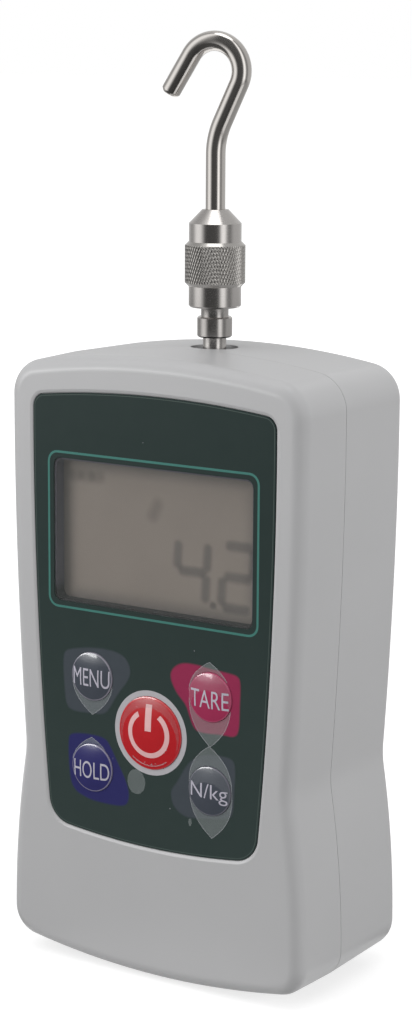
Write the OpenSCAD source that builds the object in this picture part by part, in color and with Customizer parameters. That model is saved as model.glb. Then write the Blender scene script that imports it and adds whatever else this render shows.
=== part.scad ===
// Handheld digital force gauge with a hook on its measuring shaft.
// Millimetres. X to the right, Y from the front face to the back, Z up.
// The origin is under the middle of the case, on the surface that it stands on.

/* [Case] */
// Height of the case on its centre line
case_h = 135.5; // [133:0.5:139]
// Width across the shoulders
shoulder_w = 75; // [74:0.5:80]
// Width at the waist, where the two side curves would cross
waist_w = 69.8; // [68.4:0.2:71]
// Width across the base
base_w = 76.4; // [75:0.2:80]
// Depth from the front face to the back face
case_d = 42; // [41.4:0.2:46]
// Height of the waist
waist_z = 46.7; // [44:0.1:50]
// Distance of the widest shoulder line below the top
shoulder_drop = 13.5; // [12:0.5:16]
// Height of the widest line of the base
base_z = 9; // [8:0.5:12]
// Radius of the crowned top
top_crown_r = 190; // [160:5:260]
// Radius of the crowned bottom
bottom_crown_r = 190; // [160:5:260]
// Radius of the two top corners
top_corner_r = 8; // [7:0.5:10]
// Radius of the two bottom corners
base_corner_r = 7; // [6:0.5:9]
// Radius that softens the waist
waist_r = 22; // [12:1:30]
// Rounding of the front edge
front_edge_r = 3; // [2:0.1:3.4]
// Rounding of the rear edge
rear_edge_r = 4; // [3:0.1:4.4]
// Depth of the parting plane behind the front face
split_depth = 16.2; // [15.8:0.1:17]
// Wall thickness of both shells
case_wall = 2.4; // [2.2:0.1:2.6]
// Narrowing of each shell on every side, from the parting plane to its face
draft = 0.35; // [0.2:0.05:0.5]
// Height of the tongue that locates the two shells
tongue_h = 1.6; // [1:0.1:2.4]
// Thickness of the tongue
tongue_t = 1.1; // [0.8:0.1:1.3]

/* [Front panel] */
// Width of the panel at its widest
panel_w = 61.4; // [60.4:0.2:62]
// Height of the panel on its centre line
panel_h = 97.7; // [96:0.1:99]
// Case face left bare above the panel
panel_margin = 8.1; // [7.5:0.1:9]
// Radius of the panel's bowed sides
panel_side_r = 900; // [700:10:1200]
// Distance of the panel's widest line below its top edge
panel_wide_drop = 9.5; // [8:0.5:12]
// Radius of the panel's top edge
panel_top_r = 240; // [180:10:320]
// Radius of the panel's bottom edge
panel_bottom_r = 170; // [100:5:220]
// Radius of the panel's top corners
panel_top_corner_r = 3; // [2:0.5:5]
// Radius of the panel's bottom corners
panel_bottom_corner_r = 6; // [5:0.5:8]
// Thickness of the panel sheet
panel_t = 0.45; // [0.3:0.05:0.6]
// Distance of the panel's surface below the case face
panel_sink = 0.15; // [0.1:0.05:0.3]
// Thickness of the case face behind the panel
face_t = 2.1; // [1.8:0.1:2.3]

/* [Display] */
// Width of the clear window
window_w = 50.4; // [49:0.2:51]
// Height of the clear window
window_h = 31; // [30:0.2:31.6]
// Distance of the window's centre below the panel's top edge
window_drop = 30.7; // [30.4:0.1:31.2]
// Corner radius of the window
window_corner_r = 1.6; // [1:0.1:2.4]
// Depth of the display glass behind the case face
lcd_depth = 3.2; // [3.1:0.1:3.6]
// Thickness of the display glass
lcd_t = 2.8; // [2.2:0.1:3]
// How far the glass reaches beyond the window on each side
lcd_border = 2; // [1.6:0.1:2.2]
// Wall of the frame around the glass
lcd_frame_wall = 2; // [1.4:0.1:2.2]
// Thickness of the strips that join the glass to the board
zebra_t = 2.4; // [2.2:0.1:3]

/* [Keys] */
// Diameter of the four small keys
key_d = 10.6; // [9.6:0.1:11]
// Diameter of the power key
power_d = 15.9; // [14:0.1:16.4]
// Distance between the two columns of keys
key_pitch_x = 30.4; // [30:0.1:31]
// Distance between the two rows of keys
key_pitch_z = 20.3; // [20:0.1:21]
// Height of the key group's centre above the panel's bottom edge
key_centre_up = 25.6; // [25:0.1:26.4]
// Height of a small key's crown above the panel
key_rise = 0.9; // [0.6:0.05:1.2]
// Height of the power key's crown above the panel
power_rise = 1.1; // [0.8:0.05:1.4]
// Height of a key's edge above the panel
key_edge = 0.25; // [0.15:0.05:0.4]
// Width of the rim that holds a key behind the case face
key_rim = 1.2; // [0.8:0.1:1.4]
// Thickness of that rim
key_rim_t = 0.8; // [0.6:0.1:1]
// Travel of every key
key_travel = 0.5; // [0.3:0.05:0.55]

/* [Circuit board] */
// Width of the main board
board_w = 50; // [49:0.2:50.6]
// Thickness of the boards
board_t = 1.6; // [1.2:0.1:2]
// Height of a key switch
switch_h = 3.5; // [3.2:0.1:3.6]
// Width of a key switch
switch_w = 6; // [5.6:0.1:7]
// Diameter of a switch plunger
plunger_d = 3.4; // [3:0.1:3.8]
// Diameter of the sounder
buzzer_d = 12; // [9:0.5:13]
// Height of the sounder
buzzer_h = 5; // [3:0.5:5.5]

/* [Measuring shaft] */
// Distance of the shaft's axis in front of the back face
shaft_depth = 18; // [17.4:0.1:18.4]
// Diameter of the shaft and of its two threads
shaft_d = 6; // [5.6:0.1:6.4]
// Diameter of the neck under the collar
neck_d = 5; // [4.4:0.1:5.4]
// Diameter of the collar
collar_d = 7.5; // [7:0.1:9]
// Height of the collar
collar_h = 4.4; // [3.5:0.1:5]
// Gap between the top of the case and the collar
collar_gap = 2; // [1.5:0.1:3]
// Length of thread that shows between the collar and the adapter
thread_shows = 2; // [1:0.1:3]
// Diameter of the hole in the top of the case
shaft_hole_d = 10.2; // [9.4:0.2:11]

/* [Hook adapter] */
// Diameter of the smooth rings at both ends
ring_d = 11.2; // [10.4:0.1:11.6]
// Height of the lower ring
lower_ring_h = 4.5; // [4:0.1:5.5]
// Diameter of the knurled grip
grip_d = 12.9; // [12.2:0.1:14]
// Height of the knurled grip
grip_h = 9.4; // [7:0.1:10.4]
// Height of the upper ring
upper_ring_h = 3.9; // [3.4:0.1:5.5]
// Height of the cone at the top
cone_h = 2.9; // [2.5:0.1:4]
// Diameter of the cone's small end
cone_top_d = 5.6; // [5.2:0.1:6.4]

/* [Hook] */
// Diameter of the hook's wire
wire_d = 4.2; // [3.8:0.05:4.6]
// Straight shank above the adapter
shank_rise = 11.5; // [10:0.1:16]
// Radius of the bend that leans the hook aside
lean_r = 16; // [10:0.5:20]
// Angle of that lean
lean = 25; // [20:1:28]
// Straight length after the lean
lean_run = 8.8; // [8:0.1:13]
// Radius of the hook's bend, on the wire's centre
bend_r = 6.2; // [5.6:0.1:7]
// Angle through which the hook's bend turns
bend_sweep = 173; // [165:1:178]
// Straight length from the bend to the tip
tip_run = 9.5; // [7:0.1:11]
// Direction that the hook faces
hook_turn = 10; // [0:1:90]

/* [Load cell] */
// Width of the load cell
cell_w = 30; // [28:0.5:31]
// Thickness of the load cell
cell_t = 14; // [12:0.5:14]
// Height of the load cell
cell_h = 42; // [40:0.5:43]
// Height of the load cell's foot
cell_z = 62; // [61.5:0.1:63]
// Height of the two slots
slot_h = 2.5; // [2:0.1:3]
// Metal left at the closed end of a slot
slot_web = 6; // [5:0.5:8]
// Thickness of the two outer arms
arm_t = 9.5; // [9:0.1:10]
// Diameter of the two joined holes in the middle beam
eye_d = 11; // [9:0.5:12]
// Distance between those holes
eye_pitch = 10; // [8:0.5:11]

/* [Mounting] */
// Distance across between the mounting threads in the back
mount_pitch_x = 30; // [28:0.5:31]
// Distance up between the mounting threads in the back
mount_pitch_z = 50; // [49:0.5:50.5]
// Bore of a mounting thread
mount_bore_d = 3.3; // [3:0.1:3.6]
// Depth of a mounting thread
mount_depth = 8; // [6:0.5:8.5]
// Outer diameter of a mounting post
post_d = 8; // [7:0.1:8.4]
// Thickness of the bracket's plate
bracket_t = 4; // [3.4:0.1:4.2]
// Width of the bracket's plate
bracket_w = 40; // [39:0.5:41]

/* [Power and sockets] */
// Diameter of a battery cell
battery_d = 10.4; // [9.8:0.1:10.6]
// Length of a battery cell
battery_l = 44.5; // [40:0.5:46]
// Wall of the battery tray
tray_wall = 1.5; // [1.2:0.1:1.7]
// Height of the charging socket above the foot of the load cell
jack_up = 38; // [37:0.5:39]
// Height of the data socket above the foot of the load cell
port_up = 25; // [24:0.5:25.5]

/* [Fits] */
// Radial gap around a key, a plunger or a thread
running_fit = 0.05; // [0.03:0.01:0.08]
// Gap between pieces that are laid into each other
lay_fit = 0.1; // [0.05:0.01:0.15]

/* [Hidden] */
$fn = 48;

// Planes of the case
front_y = -case_d / 2;
back_y = case_d / 2;
split_y = front_y + split_depth;
panel_depth = panel_sink + panel_t;
face_depth = panel_depth + face_t;
face_y = front_y + face_depth;
rear_wall_y = back_y - case_wall;
cavity_r = 1.2;
edge_steps = 6;
cut = 1;
// Length of the cuts that pass through a side wall
wall_reach = 8;

// Sagitta and half chord to radius, negative for an arc that dips in and very large for a straight side
straight_sag = 0.001;
function bow_r(sag, chord) = (chord * chord + sag * sag) / (2 * (abs(sag) < straight_sag ? straight_sag : sag));
function unit(a) = [cos(a), sin(a)];
function heading(v) = atan2(v[1], v[0]);
// The crossing of two circles that is nearer to a given point
function crossing(c1, r1, c2, r2, near) =
    let (v = c2 - c1, d = norm(v), a = (d * d + r1 * r1 - r2 * r2) / (2 * d),
         foot = c1 + v * a / d, side = sqrt(r1 * r1 - a * a) * [-v[1], v[0]] / d)
    norm(foot + side - near) < norm(foot - side - near) ? foot + side : foot - side;
// Outward normal where an arc with a centre and a radius meets the arc round the next centre
function meeting(c, r, next) = heading(sign(r) * (next - c));
// An arc is [centre, radius, 1 if it bulges out or -1 if it dips in, first and last normal, steps]
function arc_points(arc, inset) =
    [for (i = [0:arc[5]]) arc[0] + (arc[2] * arc[1] - inset) * unit(arc[3] + (arc[4] - arc[3]) * i / arc[5])];
function drop_first(points) = [for (i = [1:len(points) - 1]) points[i]];
function half_outline(arcs, inset) =
    [for (k = [0:len(arcs) - 1]) let (p = arc_points(arcs[k], inset)) each (k == 0 ? p : drop_first(p))];
// The right half runs from the top to the bottom, and the left half mirrors it
function outline(arcs, inset) =
    let (half = half_outline(arcs, inset), last = len(half) - 1)
    concat(half, [for (i = [last - 1:-1:1]) [-half[i][0], half[i][1]]]);

// Side view of the case as tangent arcs
shoulder_z = case_h - shoulder_drop;
shoulder_r = bow_r((shoulder_w - waist_w) / 2, shoulder_z - waist_z);
base_r = bow_r((base_w - waist_w) / 2, waist_z - base_z);
top_c = [0, case_h - top_crown_r];
shoulder_c = [shoulder_w / 2 - shoulder_r, shoulder_z];
base_c = [base_w / 2 - base_r, base_z];
bottom_c = [0, bottom_crown_r];
top_corner_c = crossing(top_c, top_crown_r - top_corner_r, shoulder_c, shoulder_r - top_corner_r,
                        [shoulder_w / 2, case_h]);
waist_c = crossing(shoulder_c, shoulder_r + waist_r, base_c, base_r + waist_r, [waist_w / 2, waist_z]);
base_corner_c = crossing(bottom_c, bottom_crown_r - base_corner_r, base_c, base_r - base_corner_r,
                         [base_w / 2, 0]);
top_end = meeting(top_c, top_crown_r, top_corner_c);
shoulder_start = meeting(shoulder_c, shoulder_r, top_corner_c);
shoulder_end = meeting(shoulder_c, shoulder_r, waist_c);
base_start = meeting(base_c, base_r, waist_c);
base_end = meeting(base_c, base_r, base_corner_c);
bottom_start = meeting(bottom_c, bottom_crown_r, base_corner_c);
case_arcs = [
    [top_c, top_crown_r, 1, 90, top_end, 6],
    [top_corner_c, top_corner_r, 1, top_end, shoulder_start, 8],
    [shoulder_c, shoulder_r, 1, shoulder_start, shoulder_end, 8],
    [waist_c, waist_r, -1, shoulder_end, base_start, 5],
    [base_c, base_r, 1, base_start, base_end, 7],
    [base_corner_c, base_corner_r, 1, base_end, bottom_start, 8],
    [bottom_c, bottom_crown_r, 1, bottom_start, -90, 6]
];

// Outline of the front panel as tangent arcs
panel_top_z = case_h - panel_margin;
panel_bottom_z = panel_top_z - panel_h;
panel_top_c = [0, panel_top_z - panel_top_r];
panel_side_c = [panel_w / 2 - panel_side_r, panel_top_z - panel_wide_drop];
panel_bottom_c = [0, panel_bottom_z + panel_bottom_r];
panel_upper_c = crossing(panel_top_c, panel_top_r - panel_top_corner_r,
                         panel_side_c, panel_side_r - panel_top_corner_r, [panel_w / 2, panel_top_z]);
panel_lower_c = crossing(panel_bottom_c, panel_bottom_r - panel_bottom_corner_r,
                         panel_side_c, panel_side_r - panel_bottom_corner_r, [panel_w / 2, panel_bottom_z]);
panel_top_end = meeting(panel_top_c, panel_top_r, panel_upper_c);
panel_side_start = meeting(panel_side_c, panel_side_r, panel_upper_c);
panel_side_end = meeting(panel_side_c, panel_side_r, panel_lower_c);
panel_bottom_start = meeting(panel_bottom_c, panel_bottom_r, panel_lower_c);
panel_arcs = [
    [panel_top_c, panel_top_r, 1, 90, panel_top_end, 6],
    [panel_upper_c, panel_top_corner_r, 1, panel_top_end, panel_side_start, 8],
    [panel_side_c, panel_side_r, 1, panel_side_start, panel_side_end, 10],
    [panel_lower_c, panel_bottom_corner_r, 1, panel_side_end, panel_bottom_start, 8],
    [panel_bottom_c, panel_bottom_r, 1, panel_bottom_start, -90, 7]
];

// Display stack, from the window back to the board
window_z = panel_top_z - window_drop;
window_lip = 0.3;
window_seat = 0.8;
lcd_w = window_w + 2 * lcd_border;
lcd_h = window_h + 2 * lcd_border;
frame_w = lcd_w + 2 * (lcd_frame_wall + lay_fit);
frame_h = lcd_h + 2 * (lcd_frame_wall + lay_fit);
zebra_inset = 3;
zebra_h = 2.4;
zebra_edge = 0.4;
zebra_w = lcd_w - 2 * zebra_inset;
board_depth = lcd_depth + lcd_t + zebra_t;
board_y = front_y + board_depth;
board_back_y = board_y + board_t;

// Keys, named in the order of KEYS: place, diameter and rise
key_z = panel_bottom_z + key_centre_up;
key_x = key_pitch_x / 2;
KEYS = [
    ["power", [0, key_z], power_d, power_rise],
    ["menu", [-key_x, key_z + key_pitch_z / 2], key_d, key_rise],
    ["tare", [key_x, key_z + key_pitch_z / 2], key_d, key_rise],
    ["hold", [-key_x, key_z - key_pitch_z / 2], key_d, key_rise],
    ["unit", [key_x, key_z - key_pitch_z / 2], key_d, key_rise]
];
switch_depth = board_depth - switch_h;
press_gap = 0.1;
plunger_shows = key_travel + press_gap;
plunger_l = 1.8;
plunger_depth = switch_depth - plunger_shows;
stem_d = 4;

// Main board and its screws
board_margin = 3.5;
board_screw_edge = 3.5;
board_screw_in = 5.5;
board_notch_gap = 0.5;
board_z0 = panel_bottom_z + board_margin;
board_z1 = panel_top_z - board_margin;
board_screw_x = board_w / 2 - board_screw_in;
board_screw_z = [board_z0 + board_screw_edge, board_z1 - board_screw_edge];
board_boss_d = 5.2;
board_screw_d = 2.2;
board_screw_grip = 4.5;
board_head_d = 4.4;
board_head_h = 1.6;

// Case screws, driven from the back
screw_d = 3;
screw_head_d = 5.6;
screw_head_h = 2.4;
screw_sink = 3;
screw_grip = 9;
boss_d = 6.6;
top_screw_drop = 13;
base_screw_up = 5;
case_screws_at = [
    for (side = [-1, 1]) [side * (shoulder_w / 2 - top_corner_r), case_h - top_screw_drop],
    for (side = [-1, 1]) [side * (base_w / 2 - base_corner_r), base_z + base_screw_up]
];

// Load cell, bracket and mounting posts
shaft_y = back_y - shaft_depth;
cell_y0 = shaft_y - cell_t / 2;
cell_y1 = shaft_y + cell_t / 2;
cell_top = cell_z + cell_h;
cell_mid = cell_z + cell_h / 2;
cell_gap = 1;
bracket_y = cell_y1 + cell_gap;
bracket_back_y = bracket_y + bracket_t;
foot_t = 8;
gusset_t = 3;
gusset_h = 6.5;
bracket_below = 8.5;
bracket_above = 13;
bracket_z0 = cell_z - foot_t - bracket_below;
bracket_z1 = cell_top + bracket_above;
bracket_screw_x = 7;
bracket_screw_edge = 4;
bracket_screws_at = [
    for (side = [-1, 1]) for (z = [bracket_z0 + bracket_screw_edge, bracket_z1 - bracket_screw_edge])
        [side * bracket_screw_x, z]
];
mount_drop = 3;
mount_z = cell_mid - mount_drop;
mounts_at = [for (i = [-1, 1]) for (k = [-1, 1]) [i * mount_pitch_x / 2, mount_z + k * mount_pitch_z / 2]];
spigot_d = 6;
bolt_head_d = 10;
bolt_head_h = 6;
bolt_grip = 8;
nut_af = 10;
nut_h = 5;

// Sockets on the left side
socket_gap = 1.3;
socket_x = -(shoulder_w / 2 - case_wall - socket_gap);
socket_back = 1;
socket_y = shaft_y + socket_back;
io_x = -24;
io_margin = 7;
io_y0 = socket_y - io_margin;
io_y1 = socket_y + io_margin;
jack_z = cell_z + jack_up;
port_z = cell_z + port_up;
jack_w = 9;
jack_bore_d = 6.2;
jack_pin_d = 2;
jack_play = 0.8;
port_w = 4;
port_h = 8;
port_wall = 0.4;
port_tongue_t = 0.8;
port_tongue_h = 5.2;
port_play = 0.6;
port_hole_r = 1;
header_w = 2.5;
header_h = 12;

// Battery tray against the back wall
tray_z = 9;
battery_play = 0.4;
battery_shows = 2;
tray_inner_w = battery_l + battery_play;
battery_pitch = battery_d + battery_play;
tray_inner_h = 3 * battery_pitch;
tray_mid = tray_z + tray_wall + tray_inner_h / 2;
tray_y = rear_wall_y - tray_wall - battery_d + battery_shows;
battery_y = rear_wall_y - tray_wall - lay_fit - battery_d / 2;
lead_t = 0.5;
lead_w = 4;
ribbon_t = 0.3;
ribbon_w = 6;
ribbon_tail = 8;
gauge_w = 5;
gauge_l = 8;

// Shaft and adapter stations along Z
collar_z = case_h + collar_gap;
thread_z = collar_z + collar_h;
adapter_z = thread_z + thread_shows;
grip_z = adapter_z + lower_ring_h;
upper_ring_z = grip_z + grip_h;
cone_z = upper_ring_z + upper_ring_h;
adapter_top = cone_z + cone_h;
stud_l = 8;
shank_l = 9;
chamfer = 0.6;
tip_l = 0.8;
wire_sides = 20;
lean_steps = 5;
bend_steps = 22;

// Components on the back of the board: place, width, height and thickness
plug_h = 4;
plug_t = 2;
sensor_plug = [8, cell_z - plug_h / 2, 8, plug_h, plug_t];
battery_plug = [-12, tray_z + tray_inner_h + 2 * tray_wall - plug_h, 6, plug_h, plug_t];
CHIPS = [[0, cell_mid + 5, 12, 12, 1.8], [13, cell_z + 12, 8, 8, 1.6], [-14, cell_z, 6, 6, 2],
         [-19, cell_z + 12, 6, 10, 2], sensor_plug, battery_plug];
buzzer_at = [14, cell_top + buzzer_d / 2 + cell_gap];

// A flat shape in X and Z, given thickness along Y
module slab(y0, y1) translate([0, y1, 0]) rotate([90, 0, 0]) linear_extrude(y1 - y0) children();
// Children with their own Z axis pointing out of the front face, from a given depth
module on_face(at, depth) translate([at[0], front_y + depth, at[1]]) rotate([90, 0, 0]) children();
// Round bars along each axis
module bar_x(x0, x1, y, z, d) translate([x0, y, z]) rotate([0, 90, 0]) cylinder(d = d, h = x1 - x0);
module bar_y(at, y0, y1, d) translate([at[0], y0, at[1]]) rotate([-90, 0, 0]) cylinder(d = d, h = y1 - y0);
module bar_z(y, z0, z1, d) translate([0, y, z0]) cylinder(d = d, h = z1 - z0);
// A block given by its centre in X and Z and by two planes in Y
module block(at, w, h, y0, y1) translate([at[0] - w / 2, y0, at[1] - h / 2]) cube([w, y1 - y0, h]);

// A rectangle with round corners, centred on a point
module round_rect(at, w, h, r) {
    translate(at) {
        square([w, h - 2 * r], center = true);
        square([w - 2 * r, h], center = true);
        for (i = [-1, 1]) for (k = [-1, 1]) translate([i * (w / 2 - r), k * (h / 2 - r)]) circle(r);
    }
}

// Faces of a closed skin over rings of n points each, capped at the first and the last ring
function skin_faces(n, last) = concat(
    [[for (i = [0:n - 1]) i]],
    [for (k = [0:last - 1]) for (i = [0:n - 1]) let (j = (i + 1) % n)
     [k * n + i, (k + 1) * n + i, (k + 1) * n + j, k * n + j]],
    [[for (i = [n - 1:-1:0]) last * n + i]]);

// A closed skin through one outline at several planes, each plane as [y, inset]
module loft(arcs, planes) {
    rings = [for (p = planes) outline(arcs, p[1])];
    last = len(planes) - 1;
    points = [for (k = [0:last]) for (p = rings[k]) [p[0], planes[k][0], p[1]]];
    polyhedron(points, skin_faces(len(rings[0]), last));
}

// A ring between two insets of the case outline
module rim(inset_out, inset_in, y0, y1) slab(y0, y1) difference() {
    polygon(outline(case_arcs, inset_out));
    polygon(outline(case_arcs, inset_in));
}

front_planes = concat(
    [for (i = [0:edge_steps]) let (a = 90 * i / edge_steps)
     [front_y + front_edge_r * (1 - cos(a)), draft + front_edge_r * (1 - sin(a))]],
    [[split_y, 0]]);
front_hollow = [[face_y, draft + case_wall + cavity_r], [face_y + cavity_r, draft + case_wall],
                [split_y + cut, case_wall]];
rear_planes = concat(
    [[split_y, 0]],
    [for (i = [0:edge_steps]) let (a = 90 * i / edge_steps)
     [back_y - rear_edge_r * (1 - sin(a)), draft + rear_edge_r * (1 - cos(a))]]);
rear_hollow = [[split_y - cut, case_wall], [rear_wall_y - cavity_r, draft + case_wall],
               [rear_wall_y, draft + case_wall + cavity_r]];

module front_case() color("#b3b5b5") difference() {
    union() {
        difference() {
            loft(case_arcs, front_planes);
            loft(case_arcs, front_hollow);
        }
        for (at = case_screws_at) bar_y(at, face_y - cut, split_y, boss_d);
        for (i = [-1, 1]) for (z = board_screw_z)
            bar_y([i * board_screw_x, z], face_y - cut, board_y, board_boss_d);
    }
    slab(front_y - cut, front_y + panel_depth) polygon(outline(panel_arcs, 0));
    slab(front_y, face_y + cut)
        round_rect([0, window_z], window_w + 2 * window_seat, window_h + 2 * window_seat, window_corner_r);
    for (k = KEYS) bar_y(k[1], front_y, face_y + cut, k[2] + 2 * running_fit);
    bar_z(shaft_y, case_h - wall_reach, case_h + cut, shaft_hole_d);
    rim(case_wall - tongue_t - lay_fit, case_wall + lay_fit, split_y - tongue_h - lay_fit, split_y + cut);
    for (at = case_screws_at) bar_y(at, split_y - screw_grip - cut, split_y + cut, screw_d + 2 * running_fit);
    for (i = [-1, 1]) for (z = board_screw_z)
        bar_y([i * board_screw_x, z], board_y - board_screw_grip - cut / 2, board_y + cut,
              board_screw_d + 2 * running_fit);
}

module rear_case() color("#acaeae") difference() {
    union() {
        difference() {
            loft(case_arcs, rear_planes);
            loft(case_arcs, rear_hollow);
        }
        rim(case_wall - tongue_t, case_wall, split_y - tongue_h, split_y + cut);
        for (at = case_screws_at) bar_y(at, split_y, rear_wall_y + cut, boss_d);
        for (at = bracket_screws_at) bar_y(at, bracket_back_y, rear_wall_y + cut, boss_d);
    }
    for (at = case_screws_at) {
        bar_y(at, split_y - cut, back_y + cut, screw_d + 2 * lay_fit);
        bar_y(at, back_y - screw_sink, back_y + cut, screw_head_d + 4 * lay_fit);
    }
    for (at = bracket_screws_at) bar_y(at, bracket_back_y - cut, rear_wall_y, screw_d + 2 * running_fit);
    for (at = mounts_at) bar_y(at, rear_wall_y - cut, back_y + cut, post_d + 2 * lay_fit);
    bar_z(shaft_y, case_h - wall_reach, case_h + cut, shaft_hole_d);
    bar_x(socket_x - wall_reach, socket_x + cut, socket_y, jack_z, jack_bore_d + 2 * jack_play);
    translate([socket_x - wall_reach, socket_y, port_z]) rotate([90, 0, 90]) linear_extrude(wall_reach + cut)
        round_rect([0, 0], port_w + 2 * port_play, port_h + 2 * port_play, port_hole_r);
}

module panel_overlay() color("#323c38") slab(front_y + panel_sink, front_y + panel_depth) difference() {
    polygon(outline(panel_arcs, lay_fit));
    round_rect([0, window_z], window_w + 2 * lay_fit, window_h + 2 * lay_fit, window_corner_r + lay_fit);
    for (k = KEYS) translate(k[1]) circle(d = k[2] + 2 * running_fit);
}

module display_window() color("#9aa39f", 0.4) slab(front_y + panel_sink, front_y + panel_depth)
    round_rect([0, window_z], window_w, window_h, window_corner_r);

// The rim reaches through the case face to carry the window, and the pocket behind holds the glass
module lcd_frame() color("#4b494e") difference() {
    union() {
        slab(front_y + panel_depth, face_y)
            round_rect([0, window_z], window_w + 2 * (window_seat - lay_fit),
                       window_h + 2 * (window_seat - lay_fit), window_corner_r);
        slab(face_y, board_y) round_rect([0, window_z], frame_w, frame_h, window_corner_r);
    }
    slab(front_y, board_y)
        round_rect([0, window_z], window_w - 2 * window_lip, window_h - 2 * window_lip, window_corner_r);
    block([0, window_z], lcd_w + 2 * lay_fit, lcd_h + 2 * lay_fit, front_y + lcd_depth, board_y + cut);
}

module lcd_glass() color("#7d756e")
    block([0, window_z], lcd_w, lcd_h, front_y + lcd_depth, front_y + lcd_depth + lcd_t);

module zebra_strips() color("#d8a8a0") for (i = [-1, 1])
    block([0, window_z + i * (lcd_h / 2 - zebra_edge - zebra_h / 2)], zebra_w, zebra_h,
          board_y - zebra_t, board_y);

module main_board() color("#2f6b45") difference() {
    block([0, (board_z0 + board_z1) / 2], board_w, board_z1 - board_z0, board_y, board_back_y);
    for (i = [-1, 1]) for (z = board_screw_z)
        bar_y([i * board_screw_x, z], board_y - cut, board_back_y + cut, board_screw_d + 2 * lay_fit);
    for (at = case_screws_at) bar_y(at, board_y - cut, board_back_y + cut, boss_d + 2 * board_notch_gap);
}

module board_chips() color("#26282b") for (c = CHIPS)
    block([c[0], c[1]], c[2], c[3], board_back_y, board_back_y + c[4]);

module key_switches() color("#1f2022") for (k = KEYS) difference() {
    block(k[1], switch_w, switch_w, front_y + switch_depth, board_y);
    bar_y(k[1], front_y + switch_depth - cut, board_y - 1, plunger_d + 2 * running_fit);
}

module board_screws() color("#b9bcc0") for (i = [-1, 1]) for (z = board_screw_z) {
    bar_y([i * board_screw_x, z], board_y - board_screw_grip, board_back_y + cut / 2, board_screw_d);
    bar_y([i * board_screw_x, z], board_back_y, board_back_y + board_head_h, board_head_d);
}

module buzzer() color("#202224") difference() {
    bar_y(buzzer_at, board_back_y, board_back_y + buzzer_h, buzzer_d);
    bar_y(buzzer_at, board_back_y + buzzer_h - 1, board_back_y + buzzer_h + cut, 2);
}

module io_board() color("#2f6b45") translate([io_x, io_y0, port_z - io_margin])
    cube([board_t, io_y1 - io_y0, jack_z - port_z + 2 * io_margin]);

module io_header() color("#26282b")
    block([io_x + board_t / 2, (jack_z + port_z) / 2], header_w, header_h, board_back_y, io_y0);

module charge_jack() color("#202224") {
    difference() {
        translate([socket_x, socket_y - jack_w / 2, jack_z - jack_w / 2])
            cube([io_x - socket_x, jack_w, jack_w]);
        bar_x(socket_x - cut, io_x - 1.2, socket_y, jack_z, jack_bore_d);
    }
    bar_x(socket_x + 0.5, io_x - 1, socket_y, jack_z, jack_pin_d);
}

module data_port() color("#b9bcc0") {
    difference() {
        translate([socket_x, socket_y - port_w / 2, port_z - port_h / 2])
            cube([io_x - socket_x, port_w, port_h]);
        translate([socket_x - cut, socket_y - port_w / 2 + port_wall, port_z - port_h / 2 + port_wall])
            cube([io_x - socket_x - 1, port_w - 2 * port_wall, port_h - 2 * port_wall]);
    }
    translate([socket_x + 1, socket_y - port_tongue_t / 2, port_z - port_tongue_h / 2])
        cube([io_x - socket_x - 1.5, port_tongue_t, port_tongue_h]);
}

module battery_tray() color("#3a3d40") difference() {
    block([0, tray_mid], tray_inner_w + 2 * tray_wall, tray_inner_h + 2 * tray_wall, tray_y, rear_wall_y);
    block([0, tray_mid], tray_inner_w, tray_inner_h, tray_y - cut, rear_wall_y - tray_wall);
}

module battery_cells() color("#3f8f6a") for (i = [0:2]) {
    z = tray_z + tray_wall + (i + 0.5) * battery_pitch;
    bar_x(-battery_l / 2 + 1, battery_l / 2, battery_y, z, battery_d);
    bar_x(-battery_l / 2, -battery_l / 2 + cut, battery_y, z, 3.8);
}

// Points of a strip of even thickness along a path in Y and Z
function strip(path, t) =
    let (n = len(path) - 1,
         side = [for (i = [0:n]) let (v = path[min(i + 1, n)] - path[max(i - 1, 0)])
                 t / 2 * [-v[1], v[0]] / norm(v)])
    concat([for (i = [0:n]) path[i] + side[i]], [for (i = [n:-1:0]) path[i] - side[i]]);
module ribbon(x, w, path, t)
    translate([x - w / 2, 0, 0]) rotate([90, 0, 90]) linear_extrude(w) polygon(strip(path, t));

// From the plug on the board round to the front of the load cell
plug_y = board_back_y + plug_t;
ribbon_r = cell_y0 - ribbon_t / 2 - plug_y;
ribbon_path = concat(
    [for (a = [-90:10:0]) [plug_y, sensor_plug[1] + ribbon_r] + ribbon_r * unit(a)],
    [[cell_y0 - ribbon_t / 2, sensor_plug[1] + ribbon_r + ribbon_tail]]);
module sensor_ribbon() color("#c98f4a") ribbon(sensor_plug[0], ribbon_w, ribbon_path, ribbon_t);

// From the plug on the board back to the edge of the battery tray
lead_rise = tray_z + tray_inner_h + 1.5 * tray_wall - battery_plug[1];
lead_path = [for (i = [0:12]) [plug_y + (tray_y - plug_y) * i / 12,
                               battery_plug[1] + lead_rise * (1 - cos(15 * i)) / 2]];
module battery_leads() color("#b03030") ribbon(battery_plug[0], lead_w, lead_path, lead_t);

// Two slots from opposite sides leave an S, with two joined eyes in its middle beam
module load_cell() color("#c3c7cb") difference() {
    block([0, cell_mid], cell_w, cell_h, cell_y0, cell_y1);
    for (i = [-1, 1])
        translate([i > 0 ? -cell_w / 2 - cut : slot_web - cell_w / 2, cell_y0 - cut,
                   i > 0 ? cell_top - arm_t - slot_h : cell_z + arm_t])
            cube([cell_w - slot_web + cut, cell_t + 2 * cut, slot_h]);
    for (i = [-1, 1]) bar_y([i * eye_pitch / 2, cell_mid], cell_y0 - cut, cell_y1 + cut, eye_d);
    bar_z(shaft_y, cell_top - arm_t - cut, cell_top + cut, shaft_d + 2 * running_fit);
    bar_z(shaft_y, cell_z - cut, cell_z + bolt_grip, shaft_d + 2 * running_fit);
}

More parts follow.
